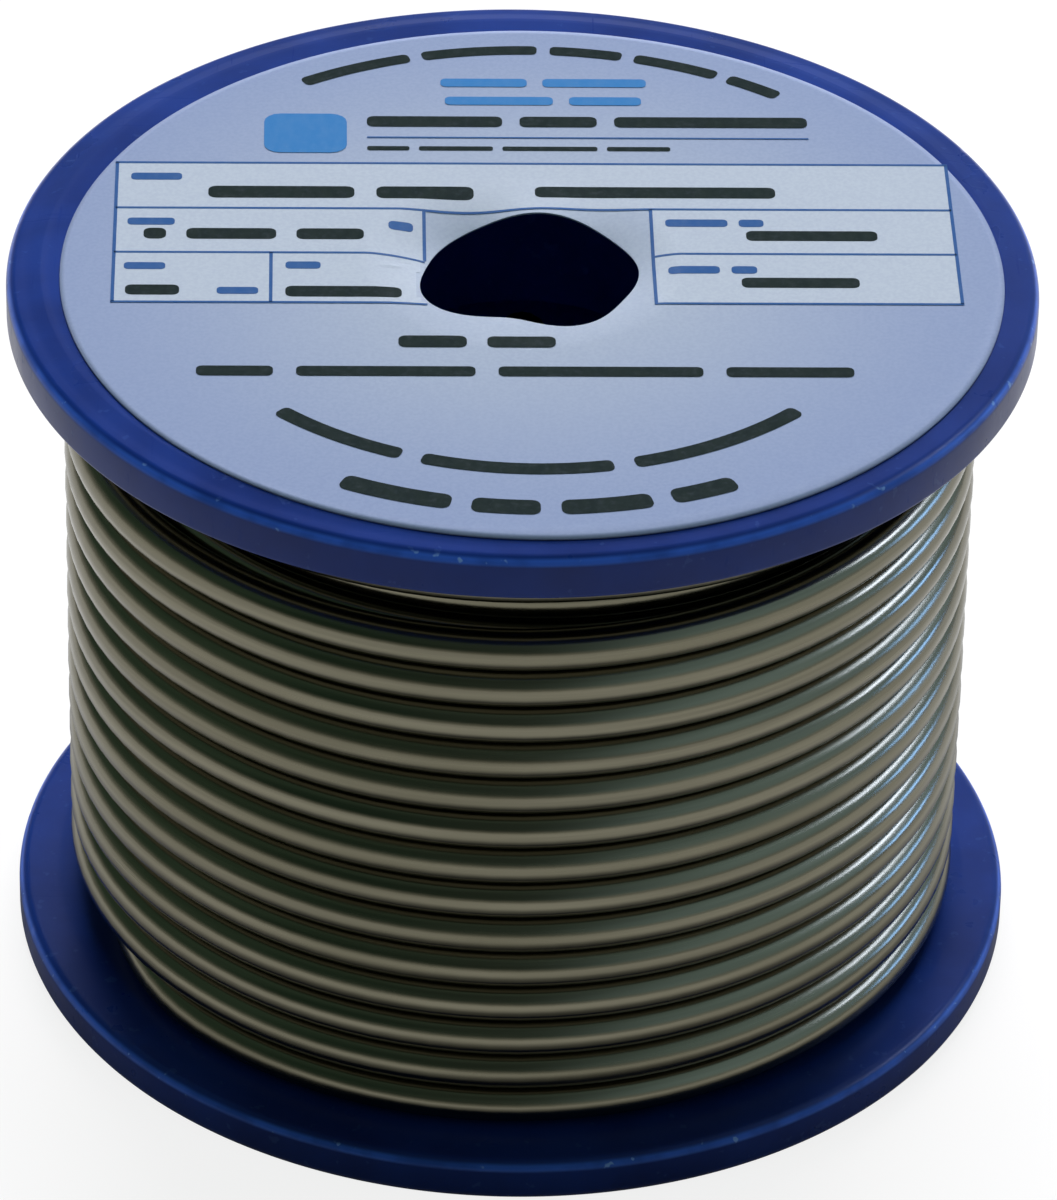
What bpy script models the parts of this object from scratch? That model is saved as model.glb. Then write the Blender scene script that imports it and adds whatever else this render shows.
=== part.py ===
"""A reel of cored solder wire.

The reel is three plastic mouldings: two flanges whose hubs plug into the ends of a barrel.
A paper label is stuck on the upper flange.  The wire is wound on the barrel in six layers.
The outer layer is drawn turn by turn and the layers under it are one plain ring.
Lengths are metres, +Z is the reel's axis, and the origin is the middle of the face it stands on.
Run with: blender --background --python part.py
"""
import math

import bmesh
import bpy
import numpy as np
from mathutils import Matrix, Vector

MM = 0.001

# Reel
FLANGE_DIAMETER = 50.0 * MM
FLANGE_THICKNESS = 2.5 * MM
FLANGE_EDGE_ROUND = 0.6 * MM
TRAVERSE = 33.2 * MM            # clear width between the two flanges
BARREL_DIAMETER = 23.2 * MM
BARREL_WALL = 1.5 * MM
SPINDLE_BORE = 15.4 * MM
HUB_LENGTH = 4.5 * MM           # how far a hub reaches into the barrel
HUB_TIP_CHAMFER = 0.5 * MM
SEAT_DEPTH = 0.9 * MM           # groove in the flange that takes the barrel's end
KEY_COUNT = 3
KEY_WIDTH = 2.0 * MM
KEY_LENGTH = 3.2 * MM
KEY_INSET = 0.7 * MM            # a key's outer face lies this far inside the barrel's outer face
FIT = 0.3 * MM                  # clearance between two pieces that seat on each other

# Label
LABEL_DIAMETER = 45.8 * MM
LABEL_THICKNESS = 0.14 * MM
LABEL_FILM = 0.05 * MM          # film of adhesive under the paper
LABEL_HOLE = 10.3 * MM
LABEL_SHIFT_RIGHT = 0.40 * MM   # the label is stuck on a little off centre
LABEL_SHIFT_FRONT = 0.60 * MM
LABEL_SAG = 0.28 * MM           # how far its free edge hangs into the bore
LABEL_WAVE = 0.22 * MM          # height of the waves in that edge
LABEL_HOLE_WOBBLE = 0.26 * MM   # how far its punched hole is out of round
# Bumps round the hole and waves round its edge: (how many, share of the height, turn in radians)
HOLE_BUMPS = ((2, 0.6, -1.2), (3, 0.4, 0.5))
EDGE_WAVES = ((2, 1.0, 0.4), (3, 0.5, -0.9))
SAG_POWER = 1.5                 # the paper drops faster the nearer it is to the hole
EDGE_RINGS = (0.0, 0.35, 0.75, 1.0)     # rings of points over the free edge, from the hole out

# Wire
WIRE_DIAMETER = 2.0 * MM        # the real wire
TURN_GAP = 0.062 * MM           # between one real turn and the next
DRAWN_GAP = 0.422 * MM          # between turns as they are drawn here, thinner than the real wire
LAYERS = 6
LEVEL_SHARE = 0.12              # share of each turn that lies level, over the climb under it
CLIMB = (-148.0, -118.0)        # degrees round the reel where the wire climbs into the outer layer
FIRST_ANGLE = -176.0            # degrees where the drawn wire starts, in the layer below
LAST_ANGLE = 95.0               # degrees where the wire's loose end lies, at the back
FRONT = -90.0                   # degrees of the side that faces the viewer
# The last turn lies loose and sags from the upper flange: the room between them at three sides and
# at its end, and where it leaves the even winding and passes those sides, in turns after the level ones
LOOSE_ROOM_LEFT = 0.97 * MM
LOOSE_ROOM_FRONT = 1.36 * MM
LOOSE_ROOM_RIGHT = 1.13 * MM
LOOSE_ROOM_END = 0.18 * MM
LOOSE_START = 0.25
LOOSE_SIDES = (0.80, 1.0, 1.12)
POINTS_PER_TURN = 24
END_RUN = 3.4 * MM              # straight length at the wire's loose end
START_RUN = 1.9 * MM            # straight length where the wire leaves the layer below
POCKET_RUN_OUT = 6.0            # degrees that the pocket under the climb runs on past it

# Flux cores in the wire, and the wire's start
FLUX_CORES = 3
FLUX_BORE = 0.46 * MM
FLUX_FIT = 0.05 * MM
FLUX_RING = 0.40 * MM           # distance of each core from the wire's middle
FLUX_DEPTH = 3.0 * MM
ANCHOR_DROP = 8.0 * MM          # from the upper flange down to the hole that holds the wire's start
TAIL_BEND = 1.9 * MM
TAIL_HANG = 3.2 * MM

# Fineness
SHARP_ANGLE = 32.0              # degrees between two faces that meet at a hard edge
ROUND_STEPS = 72                # flats round each turned piece
BARREL_STEPS = 48
LABEL_STEPS = 64
EDGE_STEPS = 4                  # flats on each rounded edge
ANCHOR_SIDES = 16
FLUX_SIDES = 8
POCKET_STEPS = 12
TAIL_STEPS = 5
WIRE_ROUNDNESS = 1              # bevel resolution of the wound wire, which is long
TAIL_ROUNDNESS = 2
MERGE = 1e-6

OVERALL_HEIGHT = TRAVERSE + 2 * FLANGE_THICKNESS
FLANGE_RADIUS = FLANGE_DIAMETER / 2
BARREL_RADIUS = BARREL_DIAMETER / 2
BARREL_INSIDE = BARREL_RADIUS - BARREL_WALL
HUB_RADIUS = BARREL_INSIDE - FIT
BORE_RADIUS = SPINDLE_BORE / 2
LOWER_FACE = FLANGE_THICKNESS                     # inner face of the lower flange
UPPER_FACE = OVERALL_HEIGHT - FLANGE_THICKNESS    # inner face of the upper flange
PITCH = WIRE_DIAMETER + TURN_GAP
LAYER_STEP = math.sqrt(WIRE_DIAMETER ** 2 - (PITCH / 2) ** 2)   # each layer lies in the grooves below
WOUND_RADIUS = BARREL_RADIUS + WIRE_DIAMETER + (LAYERS - 1) * LAYER_STEP
DRAWN_WIRE = PITCH - DRAWN_GAP
DRAWN_RADIUS = DRAWN_WIRE / 2
LAYER_RADIUS = WOUND_RADIUS - DRAWN_RADIUS        # to the middle of the drawn outer layer
UNDER_RADIUS = LAYER_RADIUS - LAYER_STEP
CHORD_DIP = 1 - math.cos(math.pi / POINTS_PER_TURN)   # a straight step dips inwards by this share
WIRE_BED = LOWER_FACE + WIRE_DIAMETER / 2         # height of the wire that lies on the lower flange
LOOSE_PLACES = (*LOOSE_SIDES, 1 + (LAST_ANGLE - FRONT) / 360)
LOOSE_ROOMS = (LOOSE_ROOM_LEFT, LOOSE_ROOM_FRONT, LOOSE_ROOM_RIGHT, LOOSE_ROOM_END)


def clear_scene():
    for item in list(bpy.data.objects):
        bpy.data.objects.remove(item, do_unlink=True)


def new_collection(name):
    collection = bpy.data.collections.new(name)
    bpy.context.scene.collection.children.link(collection)
    return collection


def linear(level):
    """One 0-255 screen level as the linear value that a shader takes."""
    share = level / 255
    return share / 12.92 if share <= 0.04045 else ((share + 0.055) / 1.055) ** 2.4


def new_material(name, colour, roughness, metallic=0.0):
    material = bpy.data.materials.new(name)
    material.use_nodes = True
    shader = material.node_tree.nodes["Principled BSDF"]
    shader.inputs["Base Color"].default_value = (*[linear(level) for level in colour], 1.0)
    shader.inputs["Roughness"].default_value = roughness
    shader.inputs["Metallic"].default_value = metallic
    return material


def add_object(name, mesh, collection, material=None):
    item = bpy.data.objects.new(name, mesh)
    collection.objects.link(item)
    if material is not None:
        mesh.materials.append(material)
    return item


def add_cutter(name, mesh, collection):
    cutter = add_object(name, mesh, collection)
    cutter.hide_render = True
    cutter.display_type = "WIRE"
    return cutter


def add_boolean(item, cutter, operation):
    modifier = item.modifiers.new(operation.title(), "BOOLEAN")
    modifier.operation = operation
    modifier.solver = "EXACT"
    modifier.object = cutter


def smooth_round(mesh):
    mesh.shade_smooth()
    mesh.set_sharp_from_angle(angle=math.radians(SHARP_ANGLE))


def arc(centre, radius, start, end, steps):
    """Points (distance from the axis, height) of an arc, in degrees from the outward direction."""
    points = []
    for step in range(steps + 1):
        angle = math.radians(start + (end - start) * step / steps)
        points.append((centre[0] + radius * math.cos(angle), centre[1] + radius * math.sin(angle)))
    return points


def turned(name, outline, steps, collection, material):
    """A closed outline turned round the Z axis.  Its outer side runs from the top down."""
    mesh = bpy.data.meshes.new(name)
    count = len(outline)
    edges = [(index, (index + 1) % count) for index in range(count)]
    mesh.from_pydata([(radius, 0.0, height) for radius, height in outline], edges, [])
    item = add_object(name, mesh, collection, material)
    screw = item.modifiers.new("Turn", "SCREW")
    screw.axis = "Z"
    screw.angle = math.tau
    screw.steps = steps
    screw.render_steps = steps
    screw.use_merge_vertices = True
    screw.merge_threshold = MERGE
    screw.use_smooth_shade = False
    return item


def box_mesh(name, size, place):
    """A box of the given size, put in place by a matrix."""
    shape = bmesh.new()
    bmesh.ops.create_cube(shape, size=1.0, matrix=place @ Matrix.Diagonal((*size, 1.0)))
    mesh = bpy.data.meshes.new(name)
    shape.to_mesh(mesh)
    shape.free()
    return mesh


def rod_mesh(name, radius, length, sides, place):
    """A rod along the local Z axis, centred on the matrix's place."""
    shape = bmesh.new()
    bmesh.ops.create_cone(
        shape, cap_ends=True, segments=sides, radius1=radius, radius2=radius, depth=length, matrix=place
    )
    mesh = bpy.data.meshes.new(name)
    shape.to_mesh(mesh)
    shape.free()
    return mesh


def flange_outline():
    """The upper flange: disc, groove for the barrel's end, and hub, with its outer face on top."""
    top = OVERALL_HEIGHT
    inner = UPPER_FACE
    edge = FLANGE_EDGE_ROUND
    outline = [(BORE_RADIUS, top)]
    outline += arc((FLANGE_RADIUS - edge, top - edge), edge, 90, 0, EDGE_STEPS)
    outline += arc((FLANGE_RADIUS - edge, inner + edge), edge, 0, -90, EDGE_STEPS)
    outline += [
        (BARREL_RADIUS + FIT, inner),
        (BARREL_RADIUS + FIT, inner + SEAT_DEPTH),
        (HUB_RADIUS, inner + SEAT_DEPTH),
        (HUB_RADIUS, inner - HUB_LENGTH + HUB_TIP_CHAMFER),
        (HUB_RADIUS - HUB_TIP_CHAMFER, inner - HUB_LENGTH),
        (BORE_RADIUS, inner - HUB_LENGTH),
    ]
    return outline


def upside_down(outline):
    """The same outline for the lower flange, still running from the top down."""
    return [(radius, OVERALL_HEIGHT - height) for radius, height in reversed(outline)]


def key_angle(index):
    return math.tau * index / KEY_COUNT


def add_keys(flange, height, cutters):
    """Ribs on the hub that drop into the barrel's slots, so that the flange can't turn."""
    reach = BARREL_RADIUS - KEY_INSET
    root = (BORE_RADIUS + HUB_RADIUS) / 2
    size = (reach - root, KEY_WIDTH, KEY_LENGTH)
    for index in range(KEY_COUNT):
        turn = Matrix.Rotation(key_angle(index), 4, "Z")
        place = turn @ Matrix.Translation(((reach + root) / 2, 0.0, height))
        name = f"{flange.name}_key_{index + 1}"
        add_boolean(flange, add_cutter(name, box_mesh(name, size, place), cutters), "UNION")


def key_height(upper):
    """Middle height of the keys on the upper or the lower hub."""
    face = UPPER_FACE if upper else LOWER_FACE
    inwards = -1 if upper else 1
    return face + inwards * (KEY_LENGTH / 2 + FIT)


def build_flanges(parts, cutters, plastic):
    upper = turned("upper_flange", flange_outline(), ROUND_STEPS, parts, plastic)
    add_keys(upper, key_height(True), cutters)
    lower = turned("lower_flange", upside_down(flange_outline()), ROUND_STEPS, parts, plastic)
    add_keys(lower, key_height(False), cutters)


def barrel_ends():
    """Lowest and highest point of the barrel, which reaches into both grooves."""
    reach = SEAT_DEPTH - FIT
    return LOWER_FACE - reach, UPPER_FACE + reach


def anchor_height():
    return UPPER_FACE - ANCHOR_DROP


def build_barrel(parts, cutters, plastic):
    low, high = barrel_ends()
    outline = [
        (BARREL_INSIDE, high),
        (BARREL_RADIUS, high),
        (BARREL_RADIUS, low),
        (BARREL_INSIDE, low),
    ]
    barrel = turned("barrel", outline, BARREL_STEPS, parts, plastic)
    slot_length = KEY_LENGTH + SEAT_DEPTH + 2 * FIT
    slot_size = (2 * BARREL_WALL + 2 * FIT, KEY_WIDTH + 2 * FIT, slot_length)
    for upper in (True, False):
        end = UPPER_FACE + SEAT_DEPTH if upper else LOWER_FACE - SEAT_DEPTH
        middle = end - slot_length / 2 if upper else end + slot_length / 2
        side = "upper" if upper else "lower"
        for index in range(KEY_COUNT):
            turn = Matrix.Rotation(key_angle(index), 4, "Z")
            place = turn @ Matrix.Translation((BARREL_RADIUS - BARREL_WALL / 2, 0.0, middle))
            name = f"barrel_{side}_slot_{index + 1}"
            cutter = add_cutter(name, box_mesh(name, slot_size, place), cutters)
            add_boolean(barrel, cutter, "DIFFERENCE")
    hole_place = Matrix.Translation((0.0, BARREL_RADIUS - BARREL_WALL / 2, anchor_height()))
    hole_place = hole_place @ Matrix.Rotation(math.pi / 2, 4, "X")
    hole_radius = WIRE_DIAMETER / 2 + FIT
    hole = rod_mesh("barrel_anchor_hole", hole_radius, 3 * BARREL_WALL, ANCHOR_SIDES, hole_place)
    add_boolean(barrel, add_cutter("barrel_anchor_hole", hole, cutters), "DIFFERENCE")


def ripple(waves, angle):
    return sum(share * math.cos(count * angle + turn) for count, share, turn in waves)


def hole_radius_at(angle):
    """The label's punched hole, a little out of round."""
    return LABEL_HOLE / 2 + LABEL_HOLE_WOBBLE * ripple(HOLE_BUMPS, angle)


def label_drop(point):
    """How far the paper lies below its flat height: only over the bore, where nothing holds it."""
    distance = math.hypot(point[0], point[1])
    free = max(0.0, BORE_RADIUS - distance) / (BORE_RADIUS - LABEL_HOLE / 2)
    angle = math.atan2(point[1], point[0])
    return free ** SAG_POWER * (LABEL_SAG + LABEL_WAVE * ripple(EDGE_WAVES, angle))


def build_label(parts, paper):
    """A paper disc: rings of points from the hole out to the edge, given its thickness afterwards."""
    shape = bmesh.new()
    shift = Vector((LABEL_SHIFT_RIGHT, -LABEL_SHIFT_FRONT, 0.0))
    flat_height = OVERALL_HEIGHT + LABEL_FILM
    rings = []
    for ring in range(len(EDGE_RINGS) + 1):
        loop = []
        for step in range(LABEL_STEPS):
            angle = math.tau * step / LABEL_STEPS
            inner = hole_radius_at(angle)
            outer = BORE_RADIUS + LABEL_SHIFT_RIGHT + LABEL_SHIFT_FRONT
            radius = LABEL_DIAMETER / 2
            if ring < len(EDGE_RINGS):
                radius = inner + (outer - inner) * EDGE_RINGS[ring]
            point = shift + Vector((radius * math.cos(angle), radius * math.sin(angle), flat_height))
            point.z -= label_drop(point)
            loop.append(shape.verts.new(point))
        rings.append(loop)
    for inner_loop, outer_loop in zip(rings, rings[1:]):
        for step in range(LABEL_STEPS):
            after = (step + 1) % LABEL_STEPS
            shape.faces.new((inner_loop[step], outer_loop[step], outer_loop[after], inner_loop[after]))
    mesh = bpy.data.meshes.new("face_label")
    shape.to_mesh(mesh)
    shape.free()
    label = add_object("face_label", mesh, parts, paper)
    thicken = label.modifiers.new("Paper", "SOLIDIFY")
    thicken.thickness = LABEL_THICKNESS
    thicken.offset = 1.0


def ease(share):
    share = min(max(share, 0.0), 1.0)
    return share * share * (3 - 2 * share)


def climbed(turns):
    """Pitches that an even winding has climbed, where each turn climbs and then lies level."""
    whole = math.floor(turns)
    return whole + min((turns - whole) / (1 - LEVEL_SHARE), 1.0)


def level_turns():
    """Turns that fit under the loose one, counted from the front of the lowest."""
    needed = max(room / PITCH + climbed(place) for room, place in zip(LOOSE_ROOMS, LOOSE_PLACES))
    return math.floor((TRAVERSE - WIRE_DIAMETER) / PITCH - needed)


def even_height(turns):
    """Height of the wire's middle in an even winding, which starts level on the lower flange."""
    return WIRE_BED + PITCH * max(climbed(turns), 0.0)


def loose_lift(turns):
    """Lift of the loose turn over an even winding, eased from each of its chosen places to the next."""
    start = level_turns() + LOOSE_START
    low = 0.0
    for place, room in zip(LOOSE_PLACES, LOOSE_ROOMS):
        end = level_turns() + place
        high = UPPER_FACE - room - WIRE_DIAMETER / 2 - even_height(end)
        if turns <= end:
            return low + (high - low) * ease((turns - start) / (end - start))
        start = end
        low = high
    return low


def wire_height(turns):
    """Height of the wire's middle, with turns counted from the front of the lowest turn."""
    return even_height(turns) + loose_lift(turns)


def wire_radius(turns):
    """Distance of the wire's middle from the axis, which steps out where the wire climbs a layer."""
    angle = FRONT + 360 * turns
    return UNDER_RADIUS + LAYER_STEP * ease((angle - CLIMB[0]) / (CLIMB[1] - CLIMB[0]))


def wire_point(turns):
    angle = math.radians(FRONT + 360 * turns)
    radius = wire_radius(turns)
    return Vector((radius * math.cos(angle), radius * math.sin(angle), wire_height(turns)))


def wire_turns():
    """The places along the wire, in turns, that become points of its tube."""
    first = (FIRST_ANGLE - FRONT) / 360
    last = level_turns() + LOOSE_PLACES[-1]
    steps = round((last - first) * POINTS_PER_TURN)
    return [first + (last - first) * step / steps for step in range(steps + 1)]


def along(turns):
    """The direction in which the wire runs."""
    angle = math.radians(FRONT + 360 * turns)
    return Vector((-math.sin(angle), math.cos(angle), 0.0))


def wire_route():
    places = wire_turns()
    points = [wire_point(turns) for turns in places]
    start = points[0] - along(places[0]) * START_RUN
    end = points[-1] + along(places[-1]) * END_RUN
    return [start, *points, end]


def least_gap(points, diameter):
    """The least distance between the surfaces of two turns, measured on the tube's points."""
    places = np.array([tuple(point) for point in points])
    apart = POINTS_PER_TURN // 2
    least = math.inf
    for index in range(len(places) - apart):
        gaps = np.linalg.norm(places[index + apart:] - places[index], axis=1)
        least = min(least, float(gaps.min()))
    return least - diameter


def tube_curve(name, points, radius, resolution, collection):
    curve = bpy.data.curves.new(name, "CURVE")
    curve.dimensions = "3D"
    curve.bevel_depth = radius
    curve.bevel_resolution = resolution
    curve.use_fill_caps = True
    spline = curve.splines.new("POLY")
    spline.points.add(len(points) - 1)
    for target, point in zip(spline.points, points):
        target.co = (*point, 1.0)
    item = bpy.data.objects.new(name, curve)
    collection.objects.link(item)
    return item


def tube_mesh(name, points, radius, resolution, collection, material):
    """A closed tube along the points, as a mesh, so that it can be cut."""
    guide = tube_curve(name + "_guide", points, radius, resolution, collection)
    bpy.context.view_layer.update()
    evaluated = guide.evaluated_get(bpy.context.evaluated_depsgraph_get())
    mesh = bpy.data.meshes.new_from_object(evaluated)
    mesh.name = name
    shape = bmesh.new()
    shape.from_mesh(mesh)
    bmesh.ops.remove_doubles(shape, verts=shape.verts, dist=MERGE)
    shape.to_mesh(mesh)
    shape.free()
    item = add_object(name, mesh, collection, material)
    item.matrix_world = guide.matrix_world.copy()
    bpy.data.objects.remove(guide, do_unlink=True)
    return item


def loose_end_frame():
    """Place of the wire's cut end: its local Z axis runs out of the wire."""
    end = wire_route()[-1]
    outwards = along(wire_turns()[-1])
    return Matrix.Translation(end) @ outwards.to_track_quat("Z", "Y").to_matrix().to_4x4()


def flux_place(index, depth):
    angle = math.tau * (index + 0.25) / FLUX_CORES
    offset = (FLUX_RING * math.cos(angle), FLUX_RING * math.sin(angle), -depth / 2)
    return loose_end_frame() @ Matrix.Translation(offset)


def build_outer_layer(parts, cutters, solder):
    route = wire_route()
    print(f"least gap between turns: {least_gap(route, DRAWN_WIRE) / MM:.3f} mm")
    layer = tube_mesh("winding_outer_layer", route, DRAWN_RADIUS, WIRE_ROUNDNESS, parts, solder)
    for index in range(FLUX_CORES):
        name = f"flux_bore_{index + 1}"
        place = flux_place(index, FLUX_DEPTH) @ Matrix.Translation((0.0, 0.0, FIT))
        bore = rod_mesh(name, FLUX_BORE / 2, FLUX_DEPTH + 2 * FIT, FLUX_SIDES, place)
        add_boolean(layer, add_cutter(name, bore, cutters), "DIFFERENCE")


def build_flux_cores(parts, flux):
    length = FLUX_DEPTH - 2 * FLUX_FIT
    for index in range(FLUX_CORES):
        name = f"flux_core_{index + 1}"
        place = flux_place(index, FLUX_DEPTH - FLUX_FIT)
        core = rod_mesh(name, FLUX_BORE / 2 - FLUX_FIT, length, FLUX_SIDES, place)
        add_object(name, core, parts, flux)


def pocket_mesh():
    """Room in the inner layers for the wire where it climbs into the outer layer."""
    first_turn = wire_turns()[0]
    floor = UNDER_RADIUS * (1 - CHORD_DIP) - DRAWN_RADIUS - FIT
    low = LOWER_FACE - FIT
    high = WIRE_BED + DRAWN_RADIUS + FIT
    shape = bmesh.new()
    section = [(floor, low), (WOUND_RADIUS, low), (WOUND_RADIUS, high), (floor, high)]
    turn = Matrix.Rotation(math.radians(FIRST_ANGLE), 4, "Z")
    back = along(first_turn) * (START_RUN + FIT)
    corners = [shape.verts.new(turn @ Vector((radius, 0.0, height)) - back) for radius, height in section]
    face = shape.faces.new(corners)
    straight = bmesh.ops.extrude_face_region(shape, geom=[face], use_keep_orig=True)
    moved = [item for item in straight["geom"] if isinstance(item, bmesh.types.BMVert)]
    bmesh.ops.translate(shape, verts=moved, vec=back)
    end_face = next(item for item in straight["geom"] if isinstance(item, bmesh.types.BMFace))
    sweep = math.radians(CLIMB[1] + POCKET_RUN_OUT - FIRST_ANGLE)
    edges = list(end_face.edges)
    shape.faces.remove(end_face)
    end = bmesh.ops.spin(
        shape, geom=edges, cent=(0, 0, 0), axis=(0, 0, 1), dvec=(0, 0, 0), angle=sweep,
        steps=POCKET_STEPS
    )
    last_edges = [item for item in end["geom_last"] if isinstance(item, bmesh.types.BMEdge)]
    bmesh.ops.contextual_create(shape, geom=last_edges)
    bmesh.ops.recalc_face_normals(shape, faces=shape.faces)
    mesh = bpy.data.meshes.new("climb_pocket")
    shape.to_mesh(mesh)
    shape.free()
    return mesh


def build_inner_layers(parts, cutters, solder):
    """All the layers under the outer one, as one ring round the barrel."""
    outside = LAYER_RADIUS * (1 - CHORD_DIP) - DRAWN_RADIUS - FIT
    inside = BARREL_RADIUS + FIT
    low = LOWER_FACE + FIT
    high = UPPER_FACE - FIT
    outline = [(inside, high), (outside, high), (outside, low), (inside, low)]
    core = turned("winding_inner_layers", outline, ROUND_STEPS, parts, solder)
    add_boolean(core, add_cutter("climb_pocket", pocket_mesh(), cutters), "DIFFERENCE")


def build_start_tail(parts, solder):
    """The wire's start: through the hole in the barrel, then bent down along its inside."""
    height = anchor_height()
    hang = BARREL_INSIDE - FIT - WIRE_DIAMETER / 2
    corner = (hang + TAIL_BEND, height - TAIL_BEND)
    points = [Vector((0.0, BARREL_RADIUS, height))]
    for distance, level in arc(corner, TAIL_BEND, 90, 180, TAIL_STEPS):
        points.append(Vector((0.0, distance, level)))
    points.append(Vector((0.0, hang, height - TAIL_BEND - TAIL_HANG)))
    tube_mesh("wire_start_tail", points, WIRE_DIAMETER / 2, TAIL_ROUNDNESS, parts, solder)


def main():
    clear_scene()
    parts = new_collection("solder_wire_spool")
    cutters = new_collection("cutters")
    plastic = new_material("blue_plastic", (38, 54, 128), 0.42)
    paper = new_material("label_paper", (150, 168, 198), 0.75)
    solder = new_material("solder", (150, 148, 136), 0.28, 1.0)
    flux = new_material("flux", (186, 132, 48), 0.3)
    build_flanges(parts, cutters, plastic)
    build_barrel(parts, cutters, plastic)
    build_label(parts, paper)
    build_inner_layers(parts, cutters, solder)
    build_outer_layer(parts, cutters, solder)
    build_flux_cores(parts, flux)
    build_start_tail(parts, solder)
    for item in parts.objects:
        if item.type == "MESH":
            smooth_round(item.data)


main()
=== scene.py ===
"""The looks of a reel of cored solder wire: two plastic flanges, a barrel, a printed label and the wire.

Lengths are metres.  The reel stands on the origin with its axis along +Z and its front towards -Y.
Turns of wire are counted from the front of the lowest one, and angles from +X, counter-clockwise.
"""
import math
import random

import bmesh
import bpy
from bpy.props import FloatProperty, FloatVectorProperty, IntProperty, PointerProperty
from mathutils import Matrix, Vector


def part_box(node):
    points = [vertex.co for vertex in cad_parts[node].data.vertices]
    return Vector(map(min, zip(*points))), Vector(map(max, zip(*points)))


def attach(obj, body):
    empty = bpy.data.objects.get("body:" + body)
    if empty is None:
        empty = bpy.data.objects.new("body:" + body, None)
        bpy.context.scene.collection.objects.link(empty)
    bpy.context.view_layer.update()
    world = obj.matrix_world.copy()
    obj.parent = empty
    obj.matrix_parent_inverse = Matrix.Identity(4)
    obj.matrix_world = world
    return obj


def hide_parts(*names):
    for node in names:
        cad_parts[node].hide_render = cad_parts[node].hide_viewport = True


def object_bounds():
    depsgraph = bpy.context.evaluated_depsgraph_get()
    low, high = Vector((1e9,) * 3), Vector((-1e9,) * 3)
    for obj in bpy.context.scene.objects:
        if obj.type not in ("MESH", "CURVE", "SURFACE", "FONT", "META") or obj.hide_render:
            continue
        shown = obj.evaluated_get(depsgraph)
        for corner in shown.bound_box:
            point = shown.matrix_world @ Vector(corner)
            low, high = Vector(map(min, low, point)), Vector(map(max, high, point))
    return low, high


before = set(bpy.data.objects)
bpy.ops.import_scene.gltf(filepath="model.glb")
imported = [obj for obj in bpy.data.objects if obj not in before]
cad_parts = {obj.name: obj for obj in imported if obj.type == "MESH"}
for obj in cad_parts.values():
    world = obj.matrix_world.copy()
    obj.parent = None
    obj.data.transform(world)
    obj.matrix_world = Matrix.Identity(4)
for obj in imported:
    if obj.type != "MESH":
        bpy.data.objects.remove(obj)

bl_info = {
    "name": "Solder Wire Reel",
    "version": (1, 0, 0),
    "blender": (4, 5, 0),
    "location": "View3D > Sidebar > Solder Reel",
    "description": "Builds the fine surfaces, the print, the wound wire and the studio of a solder reel",
    "category": "Object",
}

MM = 0.001
BODY = "root"
CAD_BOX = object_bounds()

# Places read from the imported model
REEL_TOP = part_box("upper_flange")[1].z
FLANGE_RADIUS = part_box("upper_flange")[1].x
HUB_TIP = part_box("upper_flange")[0].z
BARREL_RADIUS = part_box("barrel")[1].x
TAIL_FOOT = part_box("wire_start_tail")[0].z

# Reel, as the solids have it
FLANGE_THICKNESS = 2.5 * MM
FIT = 0.3 * MM
SEAT_DEPTH = 0.9 * MM
HUB_TIP_CHAMFER = 0.5 * MM
HUB_RADIUS = 9.8 * MM
BORE_RADIUS = 7.7 * MM
KEY_COUNT = 3
KEY_WIDTH = 2.0 * MM
KEY_LENGTH = 3.2 * MM
KEY_REACH = BARREL_RADIUS - 0.7 * MM
UPPER_FACE = REEL_TOP - FLANGE_THICKNESS
LOWER_FACE = FLANGE_THICKNESS
BORE_ROUND = 0.15 * MM
UNDER_ROUND = 0.25 * MM         # rounding of the upper flange's lower edge, sharper than its upper one
BORDER_START = 23.3 * MM        # distance from the axis at which the outer face begins to fall away
BORDER_WIDTH = 0.9 * MM         # how wide it is up to the rounded edge
BORDER_SLOPE = math.tan(math.radians(12.0))
BORDER_DROP = BORDER_WIDTH * BORDER_SLOPE

# Label, thinner than in the solids and with its hole out of round
LABEL_RADIUS = 22.8 * MM
LABEL_THICKNESS = 0.10 * MM
LABEL_FILM = 0.01 * MM
LABEL_HOLE_RADIUS = 5.11 * MM
LABEL_CENTRE = Vector((0.45 * MM, -0.87 * MM))
PRINT_CENTRE = Vector((0.42 * MM, -0.58 * MM))
PRINT_TURN = 1.85               # degrees that the print is turned to the left
LABEL_SAG = 0.28 * MM
LABEL_WAVE = 0.22 * MM
LABEL_HOLE_WOBBLE = 0.24 * MM
# Waves round the hole's edge: (how many, share of the height, turn)
HOLE_BUMPS = ((1, 1.5, -1.87), (2, 0.9, 0.05), (3, 0.9, 2.29), (4, 1.0, -2.06), (5, 0.6, -0.27))
EDGE_WAVES = ((2, 1.0, 0.4), (3, 0.5, -0.9))
SAG_POWER = 1.5
LABEL_FLAT = REEL_TOP + LABEL_FILM + LABEL_THICKNESS    # height of the printed face
CREASE_REACH = 3.0              # half widths beyond which a crease has died away
# Creases in the paper beside its hole: (angle, distance from the hole, length, half width, height)
CREASES = (
    (176.0, 1.0 * MM, 1.5 * MM, 0.16 * MM, 0.035 * MM),
    (171.0, 0.7 * MM, 1.2 * MM, 0.13 * MM, -0.03 * MM),
)

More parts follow.
